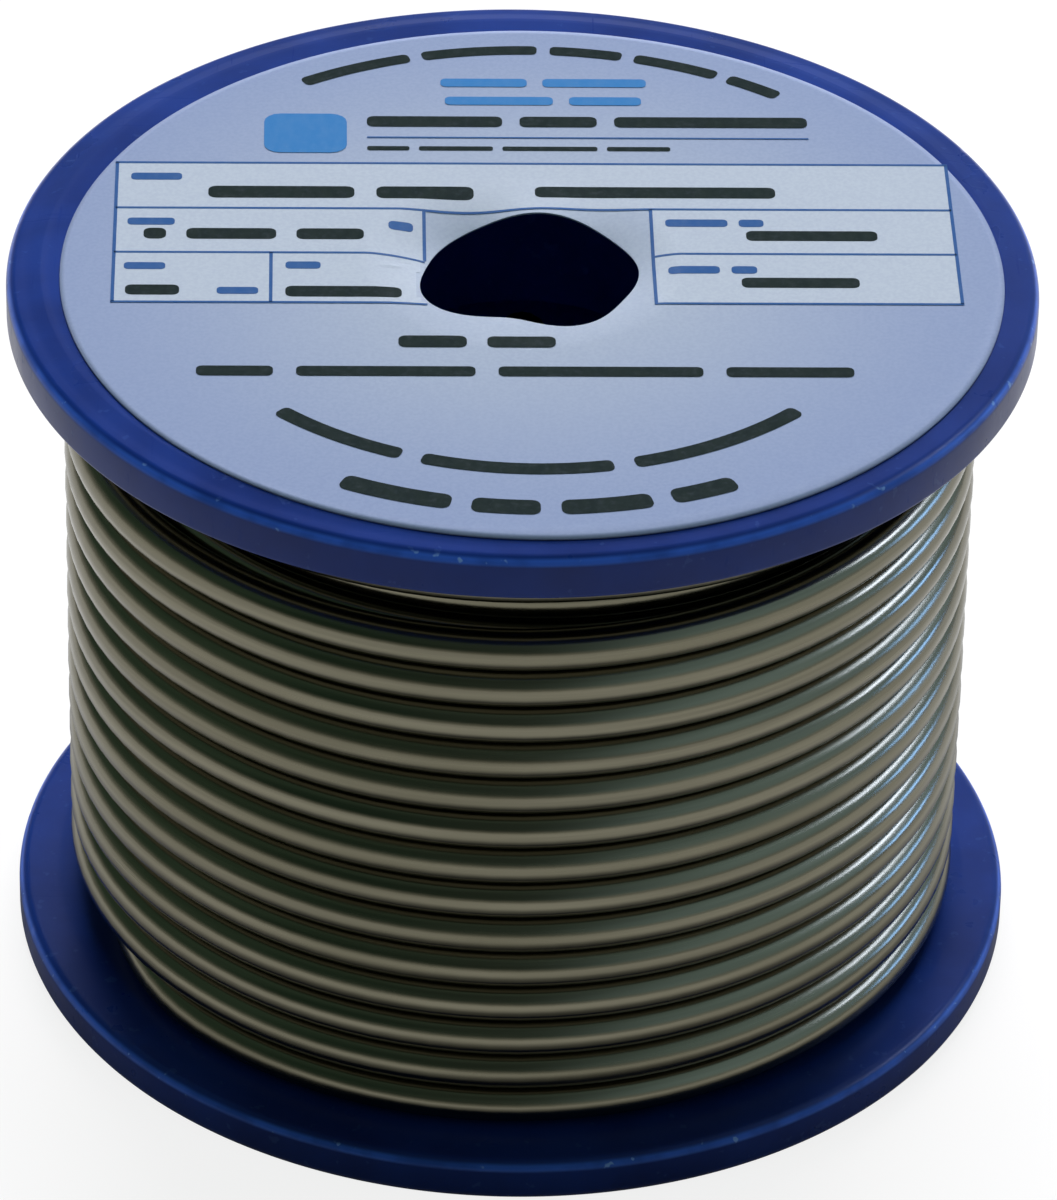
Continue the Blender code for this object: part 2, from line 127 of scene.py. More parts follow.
# Wire, as the solids have it, but at its real thickness
TURN_GAP = 0.062 * MM
LAYERS = 6
LEVEL_SHARE = 0.12
LAYER_EASE = 0.17 * MM          # how much further out the wound layers lie than if they were wound tight
CLIMB = (-185.0, -132.0)        # degrees between which it comes out over the layer beneath
FRONT = -90.0
LAST_ANGLE = 95.0
UNDER_SHORTAGE = 0.35           # turns that the layer beneath has fewer than fit
UNDER_LEVEL = 0.30              # turns of it that lie on the flange before it climbs
START_RAMP = 0.09               # turns over which it comes out from the layer under it
LOOSE_START = 0.25              # where the last turn leaves its place, in turns
LOOSE_SIDES = (0.80, 1.0, 1.12)
LOOSE_ROOMS = (0.72 * MM, 0.50 * MM, 0.72 * MM, 0.18 * MM)
END_RUN = 3.4 * MM              # straight run at the wire's cut end
END_STEPS = 6
REST_GAP = 0.02 * MM            # hair's breadth between the lowest turn and the flange
UNEVEN = 0.014 * MM             # how far a turn strays from its even place
STRAY_WAVES = ((2.3, 0.7), (6.1, 1.9), (11.7, 0.0))     # (radians in each turn, where it starts)
FLUX_CORES = 3
FLUX_BORE_RADIUS = 0.23 * MM
FLUX_RING = 0.40 * MM           # distance of the cores from the wire's middle
FLUX_TURN = 0.25                # how far their triangle is turned, in steps of it
FLUX_FIT = 0.004 * MM
FLUX_DISHES = ((0.08 * MM, -0.02 * MM), (0.08 * MM, -0.015 * MM))   # steps in which their ends are hollow
FLUX_DEPTH = 3.0 * MM
FLUX_INSET = 0.06 * MM          # the cores end this far inside the cut
TAIL_HEIGHT = UPPER_FACE - 8.0 * MM
TAIL_BEND = 1.9 * MM
TAIL_WALL = 8.8 * MM            # distance of the wire's start from the axis, along the barrel's inside

# Print on the label, in its own millimetres from the print's middle
RULE_WIDTH = 0.17
UNDERLINE_WIDTH = 0.12
UNDERLINE = ((-7.9, 12.08), (14.0, 12.08))
WORD_FILL = 0.56                # a bar's height as a share of the letters it stands for
WORD_SPACE = 0.9                # gap between two bars, in letters
WORD_ROUNDNESS = 0.35           # its corners' radius as a share of its height
CORNER_CLOSE = 0.97             # how far the corners close its end
CORNER_SHARES = (0.0, 0.08, 0.28, 0.60, 1.0)
PRINT_STEP = 0.22               # longest step between two points of the print
HOLE_MARGIN = 0.12 * MM         # print ends this far from the hole
PANEL_LIFT = 0.010 * MM
INK_LIFT = 0.020 * MM
INK_DEPTH = 0.006 * MM
TABLE_LEFT, TABLE_RIGHT = -20.2, 20.65
TABLE_ROWS = (9.62, 5.41, 1.35, -3.12)
LEFT_BLOCK_EDGE = -5.16
LEFT_BLOCK_SPLIT = -12.6
RIGHT_BLOCK_EDGE = 5.92
# Straight rows of bars: ink, left, right, middle height, letter height, letters that each bar stands for
WORD_LINES = (
    ("heading", -4.2, 6.1, 17.35, 1.40, (5, 6)),
    ("heading", -4.0, 5.8, 15.60, 1.40, (6, 4)),
    ("dark", -7.9, 14.0, 13.60, 1.75, (7, 4, 10)),
    ("dark", -7.9, 7.1, 11.05, 0.66, (4, 7, 9, 6)),
    ("rule", -19.5, -17.0, 8.32, 1.15, (5,)),
    ("dark", -15.7, -2.7, 6.90, 1.95, (6, 4)),
    ("dark", 0.3, 12.1, 6.95, 1.80, (9,)),
    ("rule", -19.6, -17.3, 4.15, 1.15, (4,)),
    ("dark", -18.8, -8.1, 3.05, 1.75, (1, 4, 3)),
    ("rule", -6.9, -5.7, 3.95, 1.25, (1,)),
    ("rule", -19.7, -17.7, 0.10, 1.10, (3,)),
    ("dark", -19.6, -17.0, -2.05, 1.60, (3,)),
    ("rule", -15.2, -13.2, -2.10, 1.10, (2,)),
    ("rule", -11.9, -10.2, 0.20, 1.15, (2,)),
    ("dark", -11.9, -6.3, -2.15, 1.70, (4,)),
    ("rule", 6.6, 11.4, 4.15, 1.20, (5, 2)),
    ("dark", 10.5, 16.9, 3.00, 1.60, (6,)),
    ("rule", 6.6, 10.9, -0.10, 1.20, (4, 2)),
    ("dark", 10.1, 15.8, -1.25, 1.60, (5,)),
    ("dark", -6.5, 1.0, -6.55, 1.80, (3, 3)),
    ("dark", -16.1, 15.1, -9.15, 1.50, (3, 7, 8, 5)),
)
# Curved rows of bars: radius, first angle, last angle, letter height, letters that each bar stands for
WORD_ARCS = (
    (20.55, 122.5, 52.0, 1.45, (8, 8, 5, 6, 4)),
    (17.45, -134.0, -45.5, 1.60, (6, 8, 8)),
    (20.65, -116.5, -64.0, 2.10, (5, 3, 4, 3)),
)
BLOCK_CENTRE = (-10.95, 12.45)  # plain block beside the heading
BLOCK_SIZE = (4.1, 3.7)
BLOCK_CORNER = 0.8

# Fineness
SHARP_ANGLE = 35.0
FLANGE_STEPS = 720
EDGE_STEPS = 10
BORE_STEPS = 4
OUTER_RINGS = (10.0, 14.0, 18.0, 21.0, 23.0)    # millimetres from the axis at which the faces have points
INNER_RINGS = (23.0, 20.0, 16.0)
BORDER_RINGS = (0.0, 0.1 * MM, 0.6 * MM, BORDER_WIDTH)      # from where the border begins
LABEL_STEPS = 360
LABEL_RINGS = 96
RING_CROWDING = 1.6             # how much closer they lie near the hole
BENEATH_STEPS = 120
GROOVE_ANGLE = 80.0             # how deep the grooves between the turns beneath are cut, in degrees
GROOVE_STEPS = 8
TAIL_STEPS = 16
CORE_SIDES = 16
MERGE = 1e-7
LEAST_RUN = 1e-6                # least width over which a slope's angle is taken

# Finishes
FLOOR_BOUNCE = (0.60, 0.60, 0.59)       # floor's colour as the light that it throws back sees it
FLOOR_WHITE = 1.03              # brightness of the lit floor for the camera
FOOT_SHADE = (25.0 * MM, 46.0 * MM)     # where a painted shadow darkens the floor in the metal, from the axis
FOOT_DIMMING = 0.88
EDGE_HIGHLIGHT_AND_RUB = (0.045, 0.155, 0.74)   # colour of the rims' rounded edges: a painted highlight, with some rub wear in it
SCRAPED_PLASTIC = (0.24, 0.44, 0.86)    # colour of their pale specks
EDGE_HIGHLIGHT_RISE = (4.0, 22.0)          # degrees of an edge's rounding over which the painted highlight and the wear begin
EDGE_HIGHLIGHT_FALL = (36.0, 58.0)         # and over which it ends
PAPER_GRAIN = ((1800.0, 700.0, 1800.0), 18.0)   # how the paper's fibres are stretched, and their turn

# Wear on the rims: how many nicks, their half width and their depth
NICKS = 26
NICK_SIZE = (0.10 * MM, 0.34 * MM)
NICK_DEPTH = (0.012 * MM, 0.05 * MM)
NICK_TILT = (15.0, 80.0)
UPPER_SEED, LOWER_SEED = 7, 57

# Camera: it stands in front, looks down at the reel, and is turned a little about its own line of sight
IMAGE_HEIGHT = 1200
FOCAL_PIXELS = 7911.7           # focal length in pixels of an image that high
SENSOR = 36.0
CAMERA_DISTANCE = 383.2 * MM    # from the middle of the upper flange's face
CAMERA_ELEVATION = 32.246
CAMERA_AIM = Vector((0.611 * MM, 0.0, 18.425 * MM))
CAMERA_TURN = 1.253
CLIP_START, CLIP_END = 0.01, 200.0


def screen_colour(red, green, blue):
    """Three 0-255 screen levels as the linear values that a shader takes."""
    colour = []
    for level in (red, green, blue):
        share = level / 255
        colour.append(share / 12.92 if share <= 0.04045 else ((share + 0.055) / 1.055) ** 2.4)
    return tuple(colour)


COLOUR = {"min": 0.0, "max": 1.0, "subtype": "COLOR"}
LENGTH = {"subtype": "DISTANCE", "unit": "LENGTH"}


class ReelSizes(bpy.types.PropertyGroup):
    """Sizes of the reel's fine surfaces"""

    edge_round: FloatProperty(
        name="Flange Edge Round", description="Radius of the rounded edges of both flanges",
        default=0.6 * MM, min=0.1 * MM, max=1.0 * MM, precision=4, **LENGTH
    )
    wire_diameter: FloatProperty(
        name="Wire Diameter", description="Thickness of the solder wire",
        default=2.0 * MM, min=1.5 * MM, max=2.0 * MM, precision=4, **LENGTH
    )
    steps_per_turn: IntProperty(
        name="Steps per Turn", description="Points of the wire's tube in each turn",
        default=96, min=24, max=96
    )
    wire_sides: IntProperty(
        name="Wire Sides", description="Flats round the wire's tube", default=24, min=8, max=24
    )


class ReelColours(bpy.types.PropertyGroup):
    """Colours of the reel's finishes"""

    plastic: FloatVectorProperty(
        name="Plastic", description="Colour of the flanges and the barrel",
        default=screen_colour(18, 47, 124), **COLOUR
    )
    paper: FloatVectorProperty(
        name="Label Paper", description="Printed tint of the label",
        default=screen_colour(147, 162, 195), **COLOUR
    )
    paper_middle: FloatVectorProperty(
        name="Label Middle", description="Printed tint of the label round its hole",
        default=screen_colour(178, 190, 205), **COLOUR
    )
    panel: FloatVectorProperty(
        name="Label Panels", description="Paler tint inside the label's table",
        default=screen_colour(188, 199, 212), **COLOUR
    )
    heading: FloatVectorProperty(
        name="Heading Ink", description="Light blue ink of the label's heading",
        default=screen_colour(58, 124, 186), **COLOUR
    )
    rule: FloatVectorProperty(
        name="Ruling Ink", description="Blue ink of the label's lines and box names",
        default=screen_colour(46, 88, 146), **COLOUR
    )
    dark: FloatVectorProperty(
        name="Dark Ink", description="Nearly black ink of the label's entries",
        default=screen_colour(18, 28, 30), **COLOUR
    )
    solder: FloatVectorProperty(
        name="Solder", description="Colour of the wire's metal", default=(0.158, 0.149, 0.108), **COLOUR
    )
    flux: FloatVectorProperty(
        name="Flux", description="Colour of the resin inside the wire",
        default=screen_colour(186, 128, 44), **COLOUR
    )


class StudioSettings(bpy.types.PropertyGroup):
    """Light and floor round the reel"""

    floor_size: FloatProperty(
        name="Floor Size", description="Width of the floor", default=40.0, min=1.0, max=100.0, **LENGTH
    )
    floor_glow: FloatProperty(
        name="Floor Glow", description="Share of the floor's white that its shadow doesn't darken",
        default=0.85, min=0.0, max=1.0, subtype="FACTOR"
    )
    horizon: FloatVectorProperty(
        name="Horizon", description="Light of the table's edge and what stands low round it",
        default=(0.50, 0.50, 0.46), **COLOUR
    )
    walls: FloatVectorProperty(
        name="Walls", description="Light of the room's walls", default=(0.080, 0.110, 0.095), **COLOUR
    )
    ceiling: FloatVectorProperty(
        name="Ceiling", description="Light of the room's ceiling", default=(0.19, 0.27, 0.22), **COLOUR
    )
    window_side: FloatVectorProperty(
        name="Window Side", description="Light of the room on the side where its window is",
        default=(0.44, 0.62, 0.70), **COLOUR
    )
    soft_power: FloatProperty(
        name="Soft Light", description="Power of the large light behind the reel, in watts",
        default=19.0, min=0.0, max=500.0
    )
    above_power: FloatProperty(
        name="Light Above", description="Power of the soft light above the reel, in watts",
        default=5.5, min=0.0, max=500.0
    )
    sky_power: FloatProperty(
        name="Window Sky", description="Power of the window's upper pane, in watts",
        default=1.5, min=0.0, max=100.0
    )
    distance_power: FloatProperty(
        name="Window Distance", description="Power of the window's lower pane, in watts",
        default=0.95, min=0.0, max=100.0
    )


# Materials


class NodeBoard:
    """A node tree of a material or a world, with short ways to add and join its nodes"""

    def __init__(self, data, shader="Principled BSDF"):
        data.use_nodes = True
        self.tree = data.node_tree
        self.shader = self.tree.nodes[shader]

    def feed(self, socket, value):
        """Gives a socket its value, or joins it to the output that makes it."""
        if isinstance(value, bpy.types.NodeSocket):
            self.tree.links.new(value, socket)
        else:
            socket.default_value = value

    def give(self, inputs, node=None):
        """Feeds a node's named inputs, the shader's when no node is named."""
        for name, value in inputs.items():
            self.feed((node or self.shader).inputs[name], value)

    def add(self, kind, inputs=None, **settings):
        node = self.tree.nodes.new(kind)
        for setting, value in settings.items():
            setattr(node, setting, value)
        self.give(inputs or {}, node)
        return node

    def place(self, scale=(1.0, 1.0, 1.0), turn=0.0, attribute=None):
        """Object coordinates, or the piece's own attribute, stretched and turned about Z."""
        if attribute is None:
            source = self.add("ShaderNodeTexCoord").outputs["Object"]
        else:
            source = self.add("ShaderNodeAttribute", attribute_name=attribute).outputs["Vector"]
        turned = (0.0, 0.0, math.radians(turn))
        mapping = self.add("ShaderNodeMapping", {"Scale": scale, "Rotation": turned, "Vector": source})
        return mapping.outputs["Vector"]

    def noise(self, place, scale, detail=3.0, roughness=0.5):
        inputs = {"Vector": place, "Scale": scale, "Detail": detail, "Roughness": roughness}
        return self.add("ShaderNodeTexNoise", inputs).outputs["Fac"]

    def spread(self, value, low, high, to_low=0.0, to_high=1.0):
        """A value's range from low to high, spread over another range."""
        inputs = {"Value": value, "From Min": low, "From Max": high, "To Min": to_low, "To Max": to_high}
        return self.add("ShaderNodeMapRange", inputs, interpolation_type="SMOOTHSTEP").outputs["Result"]

    def sum(self, operation, first, second):
        node = self.add("ShaderNodeMath", operation=operation)
        self.feed(node.inputs[0], first)
        self.feed(node.inputs[1], second)
        return node.outputs["Value"]

    def times(self, first, second):
        return self.sum("MULTIPLY", first, second)

    def plus(self, first, second):
        return self.sum("ADD", first, second)

    def blend(self, share, first, second):
        """Two colours, the second as far as the share says."""
        node = self.add("ShaderNodeMix", {"Factor": share}, data_type="RGBA")
        sockets = [socket for socket in node.inputs if socket.type == "RGBA"]
        for socket, colour in zip(sockets, (first, second)):
            self.feed(socket, colour if isinstance(colour, bpy.types.NodeSocket) else (*colour, 1.0))
        return next(socket for socket in node.outputs if socket.type == "RGBA")

    def along_axes(self, place):
        return self.add("ShaderNodeSeparateXYZ", {"Vector": place}).outputs

    def from_axis(self, place):
        """A point's distance from the reel's axis."""
        flat = self.add("ShaderNodeVectorMath", operation="MULTIPLY")
        self.feed(flat.inputs[0], place)
        self.feed(flat.inputs[1], (1.0, 1.0, 0.0))
        reach = self.add("ShaderNodeVectorMath", {"Vector": flat.outputs["Vector"]}, operation="LENGTH")
        return reach.outputs["Value"]

    def upper_edge(self, place, edge_round):
        """1 along the crest of both flanges' upward edges, and 0 on their flat faces and walls."""
        z = self.along_axes(place)["Z"]
        on_upper = self.sum("GREATER_THAN", z, REEL_TOP / 2)
        face = self.plus(self.times(on_upper, UPPER_FACE - BORDER_DROP), FLANGE_THICKNESS - edge_round)
        up = self.sum("MAXIMUM", self.sum("SUBTRACT", z, face), 0.0)
        out = self.sum("SUBTRACT", self.from_axis(place), FLANGE_RADIUS - edge_round)
        angle = self.sum("ARCTAN2", up, self.sum("MAXIMUM", out, LEAST_RUN))
        rise = self.spread(angle, *map(math.radians, EDGE_HIGHLIGHT_RISE))
        fall = self.spread(angle, *map(math.radians, EDGE_HIGHLIGHT_FALL), 1.0, 0.0)
        return self.times(rise, fall)

    def bump(self, height, strength, distance):
        node = self.add("ShaderNodeBump", {"Height": height, "Strength": strength, "Distance": distance})
        self.give({"Normal": node.outputs["Normal"]})


def material_of(name, look, *choices):
    """The material of that name, given its look by a function when it's first asked for."""
    found = bpy.data.materials.get(name)
    if found is None:
        found = bpy.data.materials.new(name)
        look(NodeBoard(found), *choices)
    return found


def tinted(colour, share, to=(1.0, 1.0, 1.0)):
    """A colour moved towards another by a share."""
    return tuple(old + (new - old) * share for old, new in zip(colour, to))


def toned(colour, factor):
    """A colour made lighter or darker."""
    return tuple(value * factor for value in colour)


def blue_plastic(board):
    """Moulded plastic with faint mottling and fine scratches, its rims' rounded edges painted paler as a
    highlight with some rub wear in it.
    """
    colour = bpy.context.scene.reel_colours.plastic
    place = board.place()
    mottle = board.spread(board.noise(place, 160.0, 4.0), 0.3, 0.7)
    mottled = board.blend(mottle, toned(colour, 0.84), tinted(colour, 0.12, (0.02, 0.10, 0.55)))
    # Painted highlight along both flanges' rounded upper edges, made patchy like rub wear
    rim = board.upper_edge(place, bpy.context.scene.reel_sizes.edge_round)
    patchy = board.spread(board.noise(place, 420.0), 0.30, 0.60, 0.55, 1.0)
    highlit_and_rubbed = board.blend(board.times(rim, patchy), mottled, EDGE_HIGHLIGHT_AND_RUB)
    # Specks and scratches
    skin = board.noise(place, 1500.0, 2.0)
    specks = board.plus(board.times(rim, 0.85), 0.05)
    specked = board.blend(board.times(board.spread(skin, 0.66, 0.72), specks), highlit_and_rubbed, SCRAPED_PLASTIC)
    one_way = board.spread(board.noise(board.place((260.0, 5200.0, 900.0), 24.0), 1.0, 2.0), 0.66, 0.74)
    other_way = board.spread(board.noise(board.place((4600.0, 240.0, 900.0), 37.0), 1.0, 2.0), 0.67, 0.75)
    scratches = board.sum("MAXIMUM", one_way, other_way)
    satin = board.spread(board.noise(place, 240.0, 4.0), 0.3, 0.7, 0.27, 0.36)
    roughness = board.plus(satin, board.times(scratches, 0.16))
    board.give({"Base Color": specked, "Roughness": roughness, "IOR": 1.49, "Specular IOR Level": 0.18})
    board.bump(board.sum("SUBTRACT", skin, board.times(scratches, 0.5)), 0.22, 0.02 * MM)


def printed_paper(board, colour, middle=None):
    """Coated label paper: a tint of fine dots, a little uneven and paler in its middle, over fibres."""
    place = board.place()
    tint = colour
    if middle is not None:
        tint = board.blend(board.spread(board.from_axis(place), 2.0 * MM, 24.0 * MM), middle, colour)
    dots = board.spread(board.noise(place, 5200.0, 2.0), 0.32, 0.68)
    dotted = board.blend(board.times(dots, 0.11), tint, tinted(colour, 0.9, (0.08, 0.12, 0.32)))
    clouds = board.spread(board.noise(place, 90.0), 0.3, 0.7)
    cloudy = board.blend(board.times(clouds, 0.12), dotted, tinted(colour, 0.3, (0.30, 0.36, 0.56)))
    fibres = board.noise(board.place(*PAPER_GRAIN), 1.0, 4.0)
    board.give({"Base Color": cloudy, "Roughness": board.spread(fibres, 0.3, 0.7, 0.52, 0.66)})
    board.bump(board.plus(fibres, board.times(dots, 0.25)), 0.25, 0.012 * MM)


def label_ink(board, colour):
    """Printing ink, thin enough for the paper's grain to show in its colour and shine."""
    worn = board.spread(board.noise(board.place(), 3800.0), 0.45, 0.85, 0.0, 0.10)
    fibres = board.noise(board.place(*PAPER_GRAIN), 1.0, 4.0)
    inked = board.blend(worn, colour, tinted(colour, 0.4, (0.45, 0.52, 0.66)))
    board.give({"Base Color": inked, "Roughness": board.spread(fibres, 0.3, 0.7, 0.42, 0.60)})
    board.bump(fibres, 0.2, 0.012 * MM)


def solder_metal(board, attribute=None):
    """Drawn solder: a dull grey metal with fine lines along the wire and faint clouds of tarnish."""
    colour = bpy.context.scene.reel_colours.solder
    lines = board.noise(board.place((55.0, 2600.0, 2600.0), 0.0, attribute), 1.0, 4.0, 0.6)
    patches = board.noise(board.place((60.0, 420.0, 420.0), 0.0, attribute), 1.0)
    tarnish = board.spread(patches, 0.42, 0.72)
    clean = board.blend(board.spread(lines, 0.3, 0.7), toned(colour, 0.86), toned(colour, 1.14))
    tarnished = tinted(toned(colour, 0.8), 0.1, (0.2, 0.18, 0.06))
    dulled = board.blend(board.times(tarnish, 0.45), clean, tarnished)
    shine = board.plus(board.spread(lines, 0.3, 0.75, 0.18, 0.26), board.times(tarnish, 0.08))
    board.give({"Base Color": dulled, "Roughness": shine, "Metallic": 1.0})
    board.bump(lines, 0.04, 0.01 * MM)


def flux_resin(board):
    """Amber resin, glassy and a little cloudy."""
    colour = bpy.context.scene.reel_colours.flux
    cloud = board.spread(board.noise(board.place(), 2400.0), 0.3, 0.7)
    clouded = board.blend(cloud, tinted(colour, 0.3, (0.2, 0.06, 0.0)), colour)
    board.give({"Base Color": clouded, "Roughness": board.spread(cloud, 0.0, 1.0, 0.16, 0.30)})
    board.give({"Subsurface Weight": 0.25, "Subsurface Scale": 0.3 * MM})


# Shapes


def placed(name, data):
    """A new object in the scene."""
    item = bpy.data.objects.new(name, data)
    bpy.context.scene.collection.objects.link(item)
    return item


def placed_shape(name, shape, material):
    """An object made of a bmesh, with its finish."""
    mesh = bpy.data.meshes.new(name)
    shape.to_mesh(mesh)
    shape.free()
    mesh.materials.append(material)
    return placed(name, mesh)


def finished_piece(name, shape, material, nodes=(), smooth=True):
    """A piece that rides with the reel in place of its solids."""
    piece = placed_shape(name, shape, material)
    if smooth:
        piece.data.shade_smooth()
        piece.data.set_sharp_from_angle(angle=math.radians(SHARP_ANGLE))
    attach(piece, BODY)
    if nodes:
        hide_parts(*nodes)
    return piece


def thicken(piece, name, thickness, offset):
    modifier = piece.modifiers.new(name, "SOLIDIFY")
    modifier.thickness = thickness
    modifier.offset = offset


def arc(centre, radius, start, end, steps):
    """Points (distance from the axis, height) of an arc, in degrees from the outward direction."""
    points = []
    for step in range(steps + 1):
        angle = math.radians(start + (end - start) * step / steps)
        points.append((centre[0] + radius * math.cos(angle), centre[1] + radius * math.sin(angle)))
    return points


def facing(spot, direction):
    """A place whose Z axis points in a direction."""
    return Matrix.Translation(spot) @ direction.to_track_quat("Z", "Y").to_matrix().to_4x4()


def points_of(result, part="geom"):
    """The points among what a bmesh operator made."""
    return [item for item in result[part] if isinstance(item, bmesh.types.BMVert)]


def turned_shape(outline, steps, closed=True):
    """A line of (distance, height) spun once round the Z axis."""
    shape = bmesh.new()
    points = [shape.verts.new((radius, 0.0, height)) for radius, height in outline]
    following = points[1:] + points[:1] if closed else points[1:]
    line = [shape.edges.new(pair) for pair in zip(points, following)]
    bmesh.ops.spin(
        shape, geom=points + line, cent=(0, 0, 0), axis=(0, 0, 1), dvec=(0, 0, 0),
        angle=math.tau, steps=steps, use_merge=True, use_duplicate=False
    )
    bmesh.ops.remove_doubles(shape, verts=shape.verts, dist=MERGE)
    bmesh.ops.recalc_face_normals(shape, faces=shape.faces)
    return shape


def flange_outline(edge_round, inner_round):
    """The upper flange from its bore round its rim to the hub, with every outer edge rounded."""
    inner = UPPER_FACE
    outline = arc((BORE_RADIUS + BORE_ROUND, REEL_TOP - BORE_ROUND), BORE_ROUND, 180, 90, BORE_STEPS)
    outline += [(radius * MM, REEL_TOP) for radius in OUTER_RINGS]
    for out in BORDER_RINGS:
        outline.append((BORDER_START + out, REEL_TOP - out * BORDER_SLOPE))
    round_start = 90.0 - math.degrees(math.atan(BORDER_SLOPE))
    round_middle = (FLANGE_RADIUS - edge_round, REEL_TOP - BORDER_DROP - edge_round)
    outline += arc(round_middle, edge_round, round_start, 0, EDGE_STEPS)
    outline += arc((FLANGE_RADIUS - inner_round, inner + inner_round), inner_round, 0, -90, EDGE_STEPS)
    outline += [(radius * MM, inner) for radius in INNER_RINGS]
    outline += [(BARREL_RADIUS + FIT, height) for height in (inner, inner + SEAT_DEPTH)]
    hub = (inner + SEAT_DEPTH, inner - FIT, inner - FIT - KEY_LENGTH, HUB_TIP + HUB_TIP_CHAMFER)
    outline += [(HUB_RADIUS, height) for height in hub]
    return outline + [(HUB_RADIUS - HUB_TIP_CHAMFER, HUB_TIP), (BORE_RADIUS, HUB_TIP)]


def press_nicks(shape, upper, edge_round):
    """Presses small dents into the rounding between the outer face and the rim."""
    chance = random.Random(UPPER_SEED if upper else LOWER_SEED)
    crest = REEL_TOP if upper else FLANGE_THICKNESS
    for _ in range(NICKS):
        angle = chance.uniform(-math.pi, math.pi)
        tilt = math.radians(chance.uniform(*NICK_TILT))
        size = chance.uniform(*NICK_SIZE)
        depth = chance.uniform(*NICK_DEPTH)
        around = Vector((math.cos(angle), math.sin(angle), 0.0))
        outwards = around * math.cos(tilt) + Vector((0.0, 0.0, math.sin(tilt)))
        middle = around * (FLANGE_RADIUS - edge_round * (1 - math.cos(tilt)))
        middle.z = crest - edge_round * (1 - math.sin(tilt))
        for vert in shape.verts:
            away = (vert.co - middle).length / size
            if away < 1.0:
                vert.co -= outwards * depth * (1 - away * away) ** 2


def raise_keys(shape, middle_height):
    """Draws the hub's three keys out of its wall, each to a flat end."""
    half = KEY_WIDTH / 2
    root = math.sqrt(HUB_RADIUS ** 2 - half ** 2)
    for index in range(KEY_COUNT):
        turn = Matrix.Rotation(math.tau * index / KEY_COUNT, 3, "Z")
        faces = []
        for face in shape.faces:
            centre = face.calc_center_median() @ turn
            on_wall = abs(centre.xy.length - HUB_RADIUS) < FIT / 4 and centre.x > 0
            if on_wall and abs(centre.y) < half and abs(centre.z - middle_height) < KEY_LENGTH / 2:
                faces.append(face)
        corners = {vert for face in faces for vert in face.verts}
        widest = max((vert.co @ turn).y for vert in corners)
        for vert in corners:
            spot = vert.co @ turn
            if abs(spot.y) > widest - MERGE:
                vert.co = turn @ Vector((root, math.copysign(half, spot.y), spot.z))
        raised = bmesh.ops.extrude_face_region(shape, geom=faces)
        bmesh.ops.delete(shape, geom=faces, context="FACES")
        for vert in points_of(raised):
            spot = vert.co @ turn
            vert.co = turn @ Vector((KEY_REACH, spot.y, spot.z))


class SOLDERREEL_OT_flanges(bpy.types.Operator):
    """Turn both flanges finely, with their rounded, nicked rims and keyed hubs"""

    bl_idname = "solder_reel.flanges"
    bl_label = "Make Flanges"

    def execute(self, context):
        edge_round = context.scene.reel_sizes.edge_round
        key_drop = KEY_LENGTH / 2 + FIT
        for upper in (True, False):
            outline = flange_outline(edge_round, UNDER_ROUND if upper else edge_round)
            if not upper:
                outline = [(radius, REEL_TOP - height) for radius, height in reversed(outline)]
            shape = turned_shape(outline, FLANGE_STEPS)
            press_nicks(shape, upper, edge_round)
            raise_keys(shape, UPPER_FACE - key_drop if upper else LOWER_FACE + key_drop)
            side = "upper" if upper else "lower"
            plastic = material_of("blue_plastic", blue_plastic)
            finished_piece(f"{side}_flange_fine", shape, plastic, [f"{side}_flange"])
        return {"FINISHED"}


class SOLDERREEL_OT_barrel(bpy.types.Operator):
    """Give the barrel between the flanges the same plastic as they have"""

    bl_idname = "solder_reel.barrel"
    bl_label = "Finish Barrel"

    def execute(self, context):
        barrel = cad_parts["barrel"]
        barrel.data.materials.clear()
        barrel.data.materials.append(material_of("blue_plastic", blue_plastic))
        return {"FINISHED"}


# Label


def ripple(waves, angle):
    return sum(share * math.cos(count * angle + turn) for count, share, turn in waves)


def hole_radius_at(angle):
    """The label's punched hole, a little out of round."""
    return LABEL_HOLE_RADIUS + LABEL_HOLE_WOBBLE * ripple(HOLE_BUMPS, angle)


def label_drop(x, y):
    """How far the paper lies below its flat height, over the bore where nothing holds it."""
    distance = math.hypot(x, y)
    free = max(0.0, BORE_RADIUS - distance) / (BORE_RADIUS - LABEL_HOLE_RADIUS)
    angle = math.atan2(y, x)
    return free ** SAG_POWER * (LABEL_SAG + LABEL_WAVE * ripple(EDGE_WAVES, angle))


def crease_lift(x, y):
    """Small wrinkles that run out from the hole's left side."""
    lift = 0.0
    for degrees, start, length, half_width, height in CREASES:
        angle = math.radians(degrees)
        outwards = Vector((math.cos(angle), math.sin(angle)))
        offset = Vector((x, y)) - LABEL_CENTRE - outwards * (LABEL_HOLE_RADIUS + start + length / 2)
        along = abs(offset.dot(outwards)) / (length / 2)
        across = abs(offset.cross(outwards)) / half_width
        if along < 1.0 and across < CREASE_REACH:
            lift += height * (1 - along * along) ** 2 * math.exp(-across * across)
    return lift


def paper_height(x, y):
    """Height of the label's printed face."""
    border = max(0.0, math.hypot(x, y) - BORDER_START) * BORDER_SLOPE
    height = LABEL_FLAT - label_drop(x, y) - border + crease_lift(x, y)
    return min(height, CAD_BOX[1].z - INK_LIFT - 2 * INK_DEPTH)


